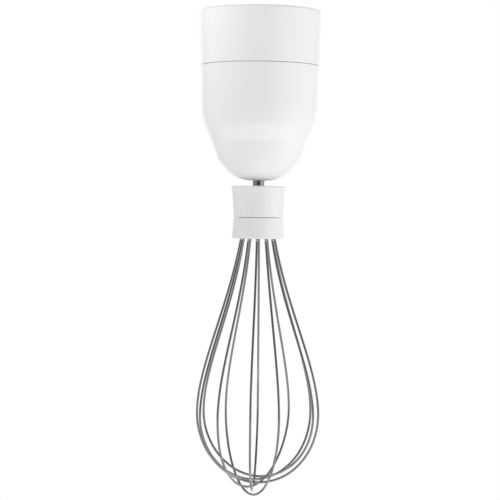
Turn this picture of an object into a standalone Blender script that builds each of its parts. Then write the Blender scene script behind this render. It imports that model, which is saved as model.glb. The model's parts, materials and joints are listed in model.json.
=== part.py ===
"""Whisk attachment for a hand-held blender.

A socket collar and a lower shell hold a planetary gear train, which turns a balloon whisk at a
sixth of the motor's speed. The whisk's shaft pulls straight out of the gear train's output sleeve.
The origin is the centre of the collar's rim, +Z points up into the motor unit, and the whisk hangs
down. All sizes are in metres.
"""

import math

import bmesh
import bpy
from mathutils import Matrix

# Clearances
SEAT_GAP = 0.0003
RUNNING_GAP = 0.00015
# How far a cutter stands out past what it cuts, and the most of a side that a fillet may take.
CUT_MARGIN = 0.001
FILLET_SHARE = 0.97

# Socket collar, the piece that takes the motor unit
RIM_RADIUS = 0.031
RIM_ROUNDING = 0.0012
COLLAR_TAPER = 0.001
COLLAR_HEIGHT = 0.0276
WALL = 0.0025
SNAP_BEAD_HEIGHT = 0.0005
SNAP_BEAD_WIDTH = 0.0006
SNAP_BEAD_ABOVE_SEAM = 0.002
LUG_COUNT = 3
LUG_DEPTH = 0.0016
LUG_HEIGHT = 0.003
LUG_BELOW_RIM = 0.003
LUG_ANGLE = math.radians(26)

# Lower shell: a drafted barrel that rounds into a conical band, a second cone and a domed bottom
BARREL_HEIGHT = 0.0264
BARREL_TAPER = 0.00085
BARREL_ROUNDING = 0.028
BAND_HEIGHT = 0.012
BAND_TAPER = 0.0052
CONE_HEIGHT = 0.009
CONE_TAPER = 0.0032
CONE_ROUNDING = 0.003
BOTTOM_HEIGHT = 0.0104
BOTTOM_EDGE_RADIUS = 0.0118
BOTTOM_ROUNDING = 0.0172
SPIGOT_HEIGHT = 0.0043
SPIGOT_WALL = 0.002
SPIGOT_ROOT = 0.0016
SHAFT_HOLE_GAP = 0.0006
FLOOR_THICKNESS = 0.0022

# Bearing boss and ribs inside the lower shell
BOSS_WALL = 0.002
BOSS_RIB_COUNT = 6
BOSS_RIB_THICKNESS = 0.0015
BOSS_RIB_DROP = 0.007
RING_RIB_COUNT = 9
RING_RIB_THICKNESS = 0.0012
RING_LEDGE_DEPTH = 0.002
RING_LEDGE_HEIGHT = 0.006

# Gearbox cover and its screws
COVER_THICKNESS = 0.0024
COVER_EDGE_ROUNDING = 0.0005
COVER_BOSS_HEIGHT = 0.002
COVER_BOSS_WALL = 0.0018
COVER_BOSS_ROUNDING = 0.0004
COVER_BOSS_FILLET = 0.0008
SCREW_COUNT = 3
SCREW_PHASE = math.radians(30)
SCREW_BOSS_RADIUS = 0.0019
SCREW_SHANK_RADIUS = 0.0008
SCREW_SHANK_LENGTH = 0.009
SCREW_POINT_LENGTH = 0.0004
SCREW_HEAD_RADIUS = 0.0018
SCREW_HEAD_HEIGHT = 0.0012
SCREW_HEAD_BEVEL = 0.0005
SCREW_HEAD_LIFT = 0.00015

# Gears
SUN_TEETH = 10
PLANET_TEETH = 20
RING_TEETH = SUN_TEETH + 2 * PLANET_TEETH
PLANET_COUNT = 3
PRESSURE_ANGLE = math.radians(25)
ADDENDUM = 0.8
DEDENDUM = 1.1
BACKLASH = 0.00013
RING_WEB = 0.0006
RING_HEIGHT = 0.0115
GEAR_FACE = 0.008

# Input side: coupling, shaft and bush
INPUT_RADIUS = 0.0018
COUPLING_RADIUS = 0.007
COUPLING_ROUNDING = 0.0008
COUPLING_HEIGHT = 0.012
COUPLING_CUP_DEPTH = 0.0085
COUPLING_LOBES = 6
COUPLING_CUP_RADIUS = 0.0045
COUPLING_LOBE_HEIGHT = 0.0009
BUSH_WALL = 0.002
BUSH_FLANGE = 0.0008
BUSH_FLANGE_LIP = 0.0011

# Carrier, planet pins and retainer
CARRIER_THICKNESS = 0.0036
CARRIER_MARGIN = 0.0011
CARRIER_ROUNDING = 0.0005
CARRIER_HUB_WALL = 0.0023
CARRIER_HUB_HEIGHT = 0.006
CARRIER_HUB_FILLET = 0.001
PIN_RADIUS = 0.0015
PIN_HEAD_RADIUS = 0.0023
PIN_HEAD_HEIGHT = 0.0006
RETAINER_THICKNESS = 0.001
RETAINER_SUN_GAP = 0.0006
DRIVE_PIN_RADIUS = 0.001
ROD_BEVEL = 0.0002

# Output sleeve, its two bushes, washer and seal
SLEEVE_WALL = 0.0017
SLEEVE_ROUNDING = 0.0004
SLEEVE_FLOOR_DEPTH = 0.0151
WASHER_THICKNESS = 0.0008
UPPER_BUSH_LENGTH = 0.010
LOWER_BUSH_LENGTH = 0.011
SEAL_HEIGHT = 0.0032
SEAL_LIP_GAP = 0.00035
SEAL_LIP_THICKNESS = 0.0009

# Whisk shaft
SHAFT_RADIUS = 0.003
SHAFT_BEVEL = 0.0004
SHAFT_HEX_ACROSS_FLATS = 0.005
SHAFT_HEX_LENGTH = 0.0107
SHAFT_INTO_HOLDER = 0.0018
GRIP_GROOVE_BELOW_HEX = 0.009
GRIP_GROOVE_DEPTH = 0.001
GRIP_RING_SECTION = 0.0005

# Whisk hub: an upper sleeve, a lower ring and the wire holder between them
HUB_GAP = 0.00275
HUB_LIP_RADIUS = 0.0141
HUB_NECK_RADIUS = 0.0133
HUB_NECK_DROP = 0.0036
HUB_NECK_ROUNDING = 0.006
HUB_WAIST_RADIUS = 0.0126
HUB_SLEEVE_HEIGHT = 0.01575
HUB_RING_RADIUS = 0.0133
HUB_RING_HEIGHT = 0.0105
HUB_RING_WALL = 0.0021
HUB_EDGE_ROUNDING = 0.0009
HUB_SEAM_ROUNDING = 0.0004
HUB_SPIGOT_HEIGHT = 0.0012
HUB_RING_LIP_HEIGHT = 0.0012
HUB_RING_LIP_DEPTH = 0.0006
HOLDER_ROUNDING = 0.0005

# Whisk wires
WIRE_RADIUS = 0.0006
WIRE_HOLE_GAP = 0.00015
LEG_INSET = 0.00195
LEG_SLOPE = 0.18
BELLY_RADIUS = 0.03095
BELLY_DROP = 0.0888
SHOULDER_PULL = 0.0373
BELLY_PULL = 0.0232
LONGEST_LOOP_DROP = 0.1297
LOOP_PHASE = math.radians(-3.65)
# Each loop's turn about the axis in steps of a twelfth, how much shorter it is than the longest loop, so
# that the wires cross one above another at the tip, how far in degrees it is twisted between the hub and
# the belly, and how far it is bent to the side at the belly and at the tip.
LOOPS = (
    (0, 0.0060, -3.5, 0.0007, 0.0010),
    (1, 0.0076, -1.3, 0.0, 0.0005),
    (-1, 0.0092, 7.1, 0.0008, 0.0010),
    (-2, 0.0, -0.6, -0.0022, -0.0022),
    (-3, 0.0022, 0.0, -0.0009, -0.0013),
    (-4, 0.0040, -2.1, -0.0009, -0.0023),
)

# Facets
SHELL_STEPS = 30
HUB_STEPS = 24
SMALL_STEPS = 16
PIN_STEPS = 10
LUG_STEPS = 4
CUP_STEPS = 36
WIRE_HOLE_STEPS = 8
GRIP_RING_STEPS = 6
WIRE_SHOULDER_STEPS = 6
WIRE_BELLY_STEPS = 7
CHORD_ERROR = 0.00012
SEAM_MERGE = 0.00001
WELD_DISTANCE = 0.000001
EMPTY_SIZE = 0.01

# Finishes: colour, roughness and metallic value
WHITE_GLOSS = ((0.86, 0.86, 0.85), 0.22, 0.0)
NATURAL_ACETAL = ((0.80, 0.79, 0.74), 0.45, 0.0)
BLACK_ACETAL = ((0.03, 0.03, 0.032), 0.5, 0.0)
GREY_PLASTIC = ((0.62, 0.62, 0.61), 0.4, 0.0)
POLISHED_STEEL = ((0.72, 0.72, 0.72), 0.12, 1.0)
SINTERED_BRONZE = ((0.62, 0.44, 0.22), 0.45, 1.0)
BLACK_RUBBER = ((0.02, 0.02, 0.02), 0.8, 0.0)

# Heights, worked out from the top down
SEAM_Z = -COLLAR_HEIGHT
SHELL_TOP_Z = SEAM_Z - SEAT_GAP
BARREL_END_Z = SHELL_TOP_Z - BARREL_HEIGHT
BAND_END_Z = BARREL_END_Z - BAND_HEIGHT
CONE_END_Z = BAND_END_Z - CONE_HEIGHT
SHELL_BOTTOM_Z = CONE_END_Z - BOTTOM_HEIGHT
SPIGOT_TOP_Z = SHELL_TOP_Z + SPIGOT_HEIGHT
COVER_BOTTOM_Z = SPIGOT_TOP_Z + SEAT_GAP
COVER_TOP_Z = COVER_BOTTOM_Z + COVER_THICKNESS
RING_TOP_Z = COVER_BOTTOM_Z - SEAT_GAP
RING_BOTTOM_Z = RING_TOP_Z - RING_HEIGHT
PIN_TOP_Z = COVER_BOTTOM_Z - 2 * SEAT_GAP
RETAINER_TOP_Z = PIN_TOP_Z - PIN_HEAD_HEIGHT - SEAT_GAP
RETAINER_BOTTOM_Z = RETAINER_TOP_Z - RETAINER_THICKNESS
PLANET_TOP_Z = RETAINER_BOTTOM_Z - SEAT_GAP
PLANET_BOTTOM_Z = PLANET_TOP_Z - GEAR_FACE
CARRIER_TOP_Z = PLANET_BOTTOM_Z - SEAT_GAP
CARRIER_BOTTOM_Z = CARRIER_TOP_Z - CARRIER_THICKNESS
CARRIER_HUB_Z = CARRIER_BOTTOM_Z - CARRIER_HUB_HEIGHT
SLEEVE_TOP_Z = CARRIER_TOP_Z - 2 * SEAT_GAP
SOCKET_FLOOR_Z = SLEEVE_TOP_Z - SLEEVE_FLOOR_DEPTH
WASHER_TOP_Z = CARRIER_HUB_Z - SEAT_GAP
UPPER_BUSH_TOP_Z = WASHER_TOP_Z - WASHER_THICKNESS - SEAT_GAP
BOSS_TOP_Z = UPPER_BUSH_TOP_Z - BUSH_FLANGE - SEAT_GAP
BOSS_FLOOR_Z = SHELL_BOTTOM_Z + FLOOR_THICKNESS
SEAL_BOTTOM_Z = BOSS_FLOOR_Z + SEAT_GAP
SEAL_TOP_Z = SEAL_BOTTOM_Z + SEAL_HEIGHT
LOWER_BUSH_BOTTOM_Z = SEAL_TOP_Z + SEAT_GAP
SLEEVE_BOTTOM_Z = LOWER_BUSH_BOTTOM_Z
BUSH_FLANGE_TOP_Z = COVER_TOP_Z + COVER_BOSS_HEIGHT + SEAT_GAP + BUSH_FLANGE
COUPLING_BOTTOM_Z = BUSH_FLANGE_TOP_Z + SEAT_GAP
COUPLING_TOP_Z = COUPLING_BOTTOM_Z + COUPLING_HEIGHT
COUPLING_FLOOR_Z = COUPLING_TOP_Z - COUPLING_CUP_DEPTH
SHAFT_TOP_Z = SOCKET_FLOOR_Z - SEAT_GAP
SHAFT_HEX_END_Z = SHAFT_TOP_Z - SHAFT_HEX_LENGTH
GRIP_GROOVE_Z = SHAFT_HEX_END_Z - GRIP_GROOVE_BELOW_HEX
HUB_TOP_Z = SHELL_BOTTOM_Z - HUB_GAP
HUB_SEAM_Z = HUB_TOP_Z - HUB_SLEEVE_HEIGHT
HUB_RING_TOP_Z = HUB_SEAM_Z - SEAT_GAP
HUB_BOTTOM_Z = HUB_RING_TOP_Z - HUB_RING_HEIGHT
HOLDER_TOP_Z = HUB_SEAM_Z - HUB_SPIGOT_HEIGHT - SEAT_GAP
HOLDER_BOTTOM_Z = HUB_BOTTOM_Z + HUB_RING_LIP_HEIGHT + SEAT_GAP
SHAFT_BOTTOM_Z = HOLDER_TOP_Z - SHAFT_INTO_HOLDER
BELLY_Z = HUB_BOTTOM_Z - BELLY_DROP

# Radii, worked out from the outside in
SEAM_RADIUS = RIM_RADIUS - COLLAR_TAPER
BARREL_END_RADIUS = SEAM_RADIUS - BARREL_TAPER
BAND_END_RADIUS = BARREL_END_RADIUS - BAND_TAPER
CONE_END_RADIUS = BAND_END_RADIUS - CONE_TAPER
COLLAR_INNER_RADIUS = SEAM_RADIUS - WALL
SPIGOT_RADIUS = COLLAR_INNER_RADIUS - SEAT_GAP
SPIGOT_INNER_RADIUS = SPIGOT_RADIUS - SPIGOT_WALL
RING_RADIUS = SPIGOT_INNER_RADIUS - SEAT_GAP
GROOVE_RADIUS = SPIGOT_RADIUS - SNAP_BEAD_HEIGHT
SCREW_CIRCLE = GROOVE_RADIUS - SEAT_GAP - SCREW_BOSS_RADIUS
SCREW_HOLE_RADIUS = SCREW_SHANK_RADIUS + SEAT_GAP
SCALLOP_RADIUS = SCREW_BOSS_RADIUS + SEAT_GAP
RING_ROOT_RADIUS = SCREW_CIRCLE - SCALLOP_RADIUS - RING_WEB
MODULE = RING_ROOT_RADIUS / (RING_TEETH / 2 + 1)
CENTRE_DISTANCE = MODULE * (SUN_TEETH + PLANET_TEETH) / 2
CARRIER_RADIUS = CENTRE_DISTANCE + PIN_RADIUS + CARRIER_MARGIN
INPUT_BORE = INPUT_RADIUS + RUNNING_GAP
INPUT_BUSH_RADIUS = INPUT_BORE + BUSH_WALL
SHAFT_BORE = SHAFT_RADIUS + SEAT_GAP
SLEEVE_RADIUS = SHAFT_BORE + SLEEVE_WALL
SLEEVE_BORE = SLEEVE_RADIUS + RUNNING_GAP
BUSH_RADIUS = SLEEVE_BORE + BUSH_WALL
BOSS_BORE = BUSH_RADIUS + SEAT_GAP
BOSS_RADIUS = BOSS_BORE + BOSS_WALL
CARRIER_HUB_RADIUS = SLEEVE_BORE + CARRIER_HUB_WALL
DRIVE_PIN_LENGTH = 2 * (CARRIER_HUB_RADIUS - SEAT_GAP)
DRIVE_PIN_Z = (CARRIER_BOTTOM_Z + CARRIER_HUB_Z) / 2
HUB_BORE = SHAFT_RADIUS + SEAT_GAP
HUB_RING_INNER_RADIUS = HUB_WAIST_RADIUS - HUB_RING_WALL
HOLDER_RADIUS = HUB_RING_INNER_RADIUS - SEAT_GAP
LEG_CIRCLE_RADIUS = HUB_RING_INNER_RADIUS - LEG_INSET
SLEEVE_SOCKET_FLATS = SHAFT_HEX_ACROSS_FLATS + 2 * SEAT_GAP


def clear_scene():
    for obj in list(bpy.data.objects):
        bpy.data.objects.remove(obj, do_unlink=True)


def new_collection(name):
    collection = bpy.data.collections.new(name)
    bpy.context.scene.collection.children.link(collection)
    return collection


def new_material(name, finish):
    colour, roughness, metallic = finish
    material = bpy.data.materials.new(name)
    material.use_nodes = True
    shader = material.node_tree.nodes["Principled BSDF"]
    shader.inputs["Base Color"].default_value = (*colour, 1.0)
    shader.inputs["Roughness"].default_value = roughness
    shader.inputs["Metallic"].default_value = metallic
    material.diffuse_color = (*colour, 1.0)
    return material


def add_part(name, data, finish, parent):
    """Makes an object of the attachment, with a material of its own."""
    part = bpy.data.objects.new(name, data)
    PARTS.objects.link(part)
    data.materials.append(new_material(name + "_finish", finish))
    part.parent = parent
    return part


def add_axis(name, location=(0, 0, 0), parent=None):
    """An empty that carries the pieces of one rigid body, on the axis it turns about."""
    axis = bpy.data.objects.new(name, None)
    axis.empty_display_size = EMPTY_SIZE
    PARTS.objects.link(axis)
    axis.location = location
    axis.parent = parent
    return axis


def add_cutter(name, mesh):
    cutter = bpy.data.objects.new(name, mesh)
    CUTTERS.objects.link(cutter)
    cutter.hide_render = True
    cutter.display_type = "WIRE"
    return cutter


def combine(part, cutter, operation="DIFFERENCE"):
    modifier = part.modifiers.new(cutter.name, "BOOLEAN")
    modifier.operation = operation
    modifier.solver = "EXACT"
    modifier.object = cutter


def soften(corners):
    """Turns (radius, height, rounding) corners into an outline with an arc at each rounded corner.

    An arc that is too large for the sides it joins is made smaller.
    """
    outline = []
    for index, (r, z, rounding) in enumerate(corners):
        if not rounding:
            outline.append((r, z))
            continue
        r_before, z_before, _ = corners[index - 1]
        r_after, z_after, _ = corners[index + 1]
        way_in = math.atan2(z - z_before, r - r_before)
        way_out = math.atan2(z_after - z, r_after - r)
        turn = math.remainder(way_out - way_in, 2 * math.pi)
        side_before = math.hypot(r - r_before, z - z_before)
        side_after = math.hypot(r_after - r, z_after - z)
        widest = FILLET_SHARE * min(side_before, side_after)
        reach = min(rounding * math.tan(abs(turn) / 2), widest)
        rounding = reach / math.tan(abs(turn) / 2)
        side = math.copysign(math.pi / 2, turn)
        centre_r = r - reach * math.cos(way_in) + rounding * math.cos(way_in + side)
        centre_z = z - reach * math.sin(way_in) + rounding * math.sin(way_in + side)
        facet = 2 * math.acos(max(1 - CHORD_ERROR / rounding, 0.5))
        steps = max(1, math.ceil(abs(turn) / facet))
        for step in range(steps + 1):
            angle = way_in - side + turn * step / steps
            outline.append((centre_r + rounding * math.cos(angle), centre_z + rounding * math.sin(angle)))
    return outline


def inset(corners, distance):
    """Moves an outline that runs down the outer side inwards, keeping its arcs concentric."""
    lines = []
    for (r0, z0, _), (r1, z1, _) in zip(corners, corners[1:]):
        length = math.hypot(r1 - r0, z1 - z0)
        along = ((r1 - r0) / length, (z1 - z0) / length)
        start = (r0 + along[1] * distance, z0 - along[0] * distance)
        lines.append((start, along))
    moved = [(lines[0][0][0], lines[0][0][1], 0)]
    for (first, second), (_, _, rounding) in zip(zip(lines, lines[1:]), corners[1:]):
        (start, along), (other, way) = first, second
        cross = along[0] * way[1] - along[1] * way[0]
        reach = ((other[0] - start[0]) * way[1] - (other[1] - start[1]) * way[0]) / cross
        corner = (start[0] + along[0] * reach, start[1] + along[1] * reach)
        moved.append((*corner, max(rounding - distance, 0)))
    r_end, z_end, _ = corners[-1]
    way = lines[-1][1]
    moved.append((r_end + way[1] * distance, z_end - way[0] * distance, 0))
    return moved


def cross_at(outline, value, axis):
    """The point where an outline crosses a radius (axis 0) or a height (axis 1)."""
    for start, end in zip(outline, outline[1:]):
        low, high = sorted((start[axis], end[axis]))
        if low <= value <= high and low < high:
            share = (value - start[axis]) / (end[axis] - start[axis])
            return tuple(a + (b - a) * share for a, b in zip(start, end))
    return outline[-1]


def turned_mesh(name, outline):
    """A mesh of one closed outline in the XZ plane, ready for a Screw modifier."""
    mesh = bpy.data.meshes.new(name)
    count = len(outline)
    points = [(r, 0, z) for r, z in outline]
    edges = [(index, (index + 1) % count) for index in range(count)]
    if outline[0][0] == 0 and outline[-1][0] == 0:
        edges.pop()
    mesh.from_pydata(points, edges, [])
    return mesh


def turn(part, steps):
    """Revolves an outline about Z, with its round faces shaded smooth."""
    screw = part.modifiers.new("turn", "SCREW")
    screw.axis = "Z"
    screw.angle = 2 * math.pi
    screw.steps = steps
    screw.render_steps = steps
    screw.use_merge_vertices = True
    screw.merge_threshold = SEAM_MERGE
    screw.use_smooth_shade = True


def turned(name, outline, finish, parent, steps):
    part = add_part(name, turned_mesh(name, outline), finish, parent)
    turn(part, steps)
    return part


def turned_cutter(name, outline, steps):
    cutter = add_cutter(name, turned_mesh(name, outline))
    turn(cutter, steps)
    return cutter


def sleeve_outline(inner, outer, top, bottom):
    return [(inner, top), (outer, top), (outer, bottom), (inner, bottom)]


def rod_outline(radius, top, bottom):
    return [
        (0, top),
        (radius - ROD_BEVEL, top),
        (radius, top - ROD_BEVEL),
        (radius, bottom + ROD_BEVEL),
        (radius - ROD_BEVEL, bottom),
        (0, bottom),
    ]


def rods_cutter(name, radius, length, places, steps):
    """One cutter of several round rods. Each place is a matrix for the rod's middle."""
    mesh = bpy.data.meshes.new(name)
    rods = bmesh.new()
    for place in places:
        bmesh.ops.create_cone(
            rods,
            cap_ends=True,
            segments=steps,
            radius1=radius,
            radius2=radius,
            depth=length,
            matrix=place,
        )
    rods.to_mesh(mesh)
    rods.free()
    return add_cutter(name, mesh)


def around(count, phase=0.0):
    """The angles of a pattern on a circle."""
    return [phase + 2 * math.pi * index / count for index in range(count)]


def upright(radius, angle, middle):
    """The place of an upright rod on a circle."""
    return Matrix.Rotation(angle, 4, "Z") @ Matrix.Translation((radius, 0, middle))


def ribs_cutter(name, outline, thickness, angles):
    """Upright radial plates of one (radius, height) outline, as one object to be joined to a wall."""
    mesh = bpy.data.meshes.new(name)
    ribs = bmesh.new()
    for angle in angles:
        corners = [ribs.verts.new((r, -thickness / 2, z)) for r, z in outline]
        face = ribs.faces.new(corners)
        grown = bmesh.ops.extrude_face_region(ribs, geom=[face])["geom"]
        far = [item for item in grown if isinstance(item, bmesh.types.BMVert)]
        bmesh.ops.translate(ribs, verts=far, vec=(0, thickness, 0))
        bmesh.ops.rotate(ribs, verts=corners + far, matrix=Matrix.Rotation(angle, 3, "Z"))
    bmesh.ops.recalc_face_normals(ribs, faces=ribs.faces)
    ribs.to_mesh(mesh)
    ribs.free()
    return add_cutter(name, mesh)


def prism_data(name, outlines, thickness):
    """A flat outline with holes, as a filled curve of the given thickness about its own middle."""
    curve = bpy.data.curves.new(name, "CURVE")
    curve.dimensions = "2D"
    curve.fill_mode = "BOTH"
    curve.extrude = thickness / 2
    for outline in outlines:
        spline = curve.splines.new("POLY")
        spline.points.add(len(outline) - 1)
        for point, (x, y) in zip(spline.points, outline):
            point.co = (x, y, 0, 1)
        spline.use_cyclic_u = True
    return curve


def prism_cutter(name, outlines, top, bottom):
    """The same prism made into a closed mesh, so that a Boolean can use it."""
    guide = bpy.data.objects.new(name + "_guide", prism_data(name, outlines, top - bottom))
    CUTTERS.objects.link(guide)
    guide.location = (0, 0, (top + bottom) / 2)
    bpy.context.view_layer.update()
    evaluated = guide.evaluated_get(bpy.context.evaluated_depsgraph_get())
    mesh = bpy.data.meshes.new_from_object(evaluated)
    welded = bmesh.new()
    welded.from_mesh(mesh)
    bmesh.ops.remove_doubles(welded, verts=welded.verts, dist=WELD_DISTANCE)
    welded.to_mesh(mesh)
    welded.free()
    cutter = add_cutter(name, mesh)
    cutter.matrix_world = guide.matrix_world
    bpy.data.objects.remove(guide, do_unlink=True)
    return cutter


def circle(radius, steps, phase=0.0):
    return [(radius * math.cos(angle), radius * math.sin(angle)) for angle in around(steps, phase)]


def hexagon(across_flats):
    return circle(across_flats / math.sqrt(3), 6)


def lobed_circle(radius, height, lobes, steps):
    """A wavy circle, such as the socket of a drive coupling."""
    outline = []
    for angle in around(steps):
        reach = radius + height * (0.5 + 0.5 * math.cos(lobes * angle))
        outline.append((reach * math.cos(angle), reach * math.sin(angle)))
    return outline


def involute(angle):
    return math.tan(angle) - angle


def half_tooth_angle(teeth, radius, thinning):
    """Half the angle that a tooth fills at a radius, on an involute flank."""
    pitch_radius = MODULE * teeth / 2
    base_radius = pitch_radius * math.cos(PRESSURE_ANGLE)
    slope = math.acos(min(1.0, base_radius / radius))
    at_pitch = math.pi / (2 * teeth) - thinning / (2 * pitch_radius)
    return at_pitch + involute(PRESSURE_ANGLE) - involute(slope)


def gear_outline(teeth, tip_radius, root_radius, thinning, phase=0.0):
    """A closed outline with involute teeth, the first of them centred on the phase angle."""
    middle_radius = (tip_radius + root_radius) / 2
    radii = (root_radius, middle_radius, tip_radius)
    outline = []
    for centre in around(teeth, phase):
        flank = [(radius, half_tooth_angle(teeth, radius, thinning)) for radius in radii]
        for radius, half in flank:
            outline.append((radius * math.cos(centre - half), radius * math.sin(centre - half)))
        for radius, half in reversed(flank):
            outline.append((radius * math.cos(centre + half), radius * math.sin(centre + half)))
    return outline


def external_gear(teeth, phase=0.0):
    pitch_radius = MODULE * teeth / 2
    tip_radius = pitch_radius + ADDENDUM * MODULE
    root_radius = pitch_radius - DEDENDUM * MODULE
    return gear_outline(teeth, tip_radius, root_radius, BACKLASH / 2, phase)


def collar_outline():
    """Section of the socket collar, with the snap bead inside its lower edge."""
    inner_rim = RIM_RADIUS - WALL
    slope = (inner_rim - COLLAR_INNER_RADIUS) / COLLAR_HEIGHT
    bead_z = SEAM_Z + SNAP_BEAD_ABOVE_SEAM
    bead_half = SNAP_BEAD_WIDTH / 2
    bead_foot = bead_half + SNAP_BEAD_HEIGHT
    outer = soften(
        [
            (inner_rim, 0, 0),
            (RIM_RADIUS, 0, RIM_ROUNDING),
            (SEAM_RADIUS, SEAM_Z, 0),
        ]
    )
    inner = [
        (COLLAR_INNER_RADIUS, SEAM_Z),
        (COLLAR_INNER_RADIUS + slope * (SNAP_BEAD_ABOVE_SEAM - bead_foot), bead_z - bead_foot),
        (COLLAR_INNER_RADIUS - SNAP_BEAD_HEIGHT, bead_z - bead_half),
        (COLLAR_INNER_RADIUS - SNAP_BEAD_HEIGHT, bead_z + bead_half),
        (COLLAR_INNER_RADIUS + slope * (SNAP_BEAD_ABOVE_SEAM + bead_foot), bead_z + bead_foot),
    ]
    return outer + inner


def make_collar(parent):
    collar = turned("collar", collar_outline(), WHITE_GLOSS, parent, SHELL_STEPS)
    top = -LUG_BELOW_RIM
    bottom = top - LUG_HEIGHT
    inner = RIM_RADIUS - WALL - LUG_DEPTH
    outer = RIM_RADIUS - WALL / 2
    for number, angle in enumerate(around(LUG_COUNT, math.pi / 2), start=1):
        spread = [angle + LUG_ANGLE * (step / LUG_STEPS - 0.5) for step in range(LUG_STEPS + 1)]
        outline = [(outer * math.cos(turn_to), outer * math.sin(turn_to)) for turn_to in spread]
        outline += [(inner * math.cos(turn_to), inner * math.sin(turn_to)) for turn_to in reversed(spread)]
        combine(collar, prism_cutter(f"bayonet_lug_{number}", [outline], top, bottom), "UNION")


def shell_corners():
    """The lower shell's outer side, from the seam down to the edge of its round bottom."""
    return [
        (SEAM_RADIUS, SHELL_TOP_Z, 0),
        (BARREL_END_RADIUS, BARREL_END_Z, BARREL_ROUNDING),
        (BAND_END_RADIUS, BAND_END_Z, 0),
        (CONE_END_RADIUS, CONE_END_Z, CONE_ROUNDING),
        (BOTTOM_EDGE_RADIUS, SHELL_BOTTOM_Z, BOTTOM_ROUNDING),
        (SHAFT_RADIUS + SHAFT_HOLE_GAP, SHELL_BOTTOM_Z, 0),
    ]


def shell_outline():
    """Section of the lower shell: its outer side, the bearing boss, the wall and the spigot."""
    corners = shell_corners()
    wall = soften(inset(corners, WALL))
    wall_top = SHELL_TOP_Z - SPIGOT_ROOT - SPIGOT_WALL
    wall_start = cross_at(wall, wall_top, 1)
    boss_foot = cross_at(wall, BOSS_RADIUS, 0)
    wall_up = [point for point in reversed(wall) if boss_foot[0] < point[0] and point[1] < wall_top]
    groove_z = SEAM_Z + SNAP_BEAD_ABOVE_SEAM
    groove_half = SNAP_BEAD_WIDTH / 2 + SEAT_GAP
    groove_foot = groove_half + SNAP_BEAD_HEIGHT
    spigot = [
        (SPIGOT_INNER_RADIUS, SPIGOT_TOP_Z),
        (SPIGOT_RADIUS, SPIGOT_TOP_Z),
        (SPIGOT_RADIUS, groove_z + groove_foot),
        (GROOVE_RADIUS, groove_z + groove_half),
        (GROOVE_RADIUS, groove_z - groove_half),
        (SPIGOT_RADIUS, groove_z - groove_foot),
        (SPIGOT_RADIUS, SHELL_TOP_Z),
    ]
    boss = [
        (SHAFT_RADIUS + SHAFT_HOLE_GAP, BOSS_FLOOR_Z),
        (BOSS_BORE, BOSS_FLOOR_Z),
        (BOSS_BORE, BOSS_TOP_Z),
        (BOSS_RADIUS, BOSS_TOP_Z),
        (BOSS_RADIUS, boss_foot[1]),
    ]
    root = [wall_start, (SPIGOT_INNER_RADIUS, SHELL_TOP_Z - SPIGOT_ROOT)]
    return spigot + soften(corners) + boss + wall_up + root


def make_lower_shell(parent):
    shell = turned("lower_shell", shell_outline(), WHITE_GLOSS, parent, SHELL_STEPS)
    middle = soften(inset(shell_corners(), WALL / 2))
    ledge_z = RING_BOTTOM_Z - SEAT_GAP
    rib_outer = cross_at(middle, ledge_z - RING_LEDGE_HEIGHT, 1)[0]
    rib_top = SHELL_TOP_Z - SPIGOT_ROOT - SEAT_GAP
    ring_rib = [
        (SPIGOT_INNER_RADIUS, rib_top),
        (rib_outer, rib_top),
        (rib_outer, ledge_z - RING_LEDGE_HEIGHT),
        (SPIGOT_INNER_RADIUS - RING_LEDGE_DEPTH, ledge_z - RING_LEDGE_DEPTH),
        (SPIGOT_INNER_RADIUS - RING_LEDGE_DEPTH, ledge_z),
        (SPIGOT_INNER_RADIUS, ledge_z),
    ]
    angles = around(RING_RIB_COUNT, SCREW_PHASE + math.pi / RING_RIB_COUNT)
    combine(shell, ribs_cutter("ring_gear_ribs", ring_rib, RING_RIB_THICKNESS, angles), "UNION")
    web_inner = SCREW_CIRCLE + SCREW_HOLE_RADIUS + SEAT_GAP
    web_bottom = ledge_z - RING_LEDGE_DEPTH - SEAT_GAP
    web = [(web_inner, rib_top), (rib_outer, rib_top), (rib_outer, web_bottom), (web_inner, web_bottom)]
    screw_angles = around(SCREW_COUNT, SCREW_PHASE)
    combine(shell, ribs_cutter("screw_boss_webs", web, RING_RIB_THICKNESS, screw_angles), "UNION")
    plate_top = BOSS_TOP_Z - BOSS_RIB_DROP
    rib_inner = BOSS_RADIUS - BOSS_WALL / 2
    start = cross_at(middle, plate_top, 1)
    end = cross_at(middle, rib_inner, 0)
    edge = [point for point in middle if start[1] > point[1] and point[0] > rib_inner]
    boss_rib = [(rib_inner, plate_top), start, *edge, end]
    combine(shell, ribs_cutter("boss_ribs", boss_rib, BOSS_RIB_THICKNESS, around(BOSS_RIB_COUNT)), "UNION")
    boss_bottom = ledge_z - RING_LEDGE_DEPTH
    boss_top = SPIGOT_TOP_Z - SEAT_GAP
    boss_length = boss_top - boss_bottom
    middle_z = boss_top - boss_length / 2
    places = [upright(SCREW_CIRCLE, angle, middle_z) for angle in screw_angles]
    bosses = rods_cutter("screw_bosses", SCREW_BOSS_RADIUS, boss_length, places, PIN_STEPS)
    combine(shell, bosses, "UNION")
    depth = SCREW_SHANK_LENGTH - COVER_THICKNESS
    holes = [upright(SCREW_CIRCLE, angle, SPIGOT_TOP_Z) for angle in screw_angles]
    length = 2 * (depth + SEAT_GAP)
    combine(shell, rods_cutter("screw_holes", SCREW_HOLE_RADIUS, length, holes, PIN_STEPS))


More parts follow.
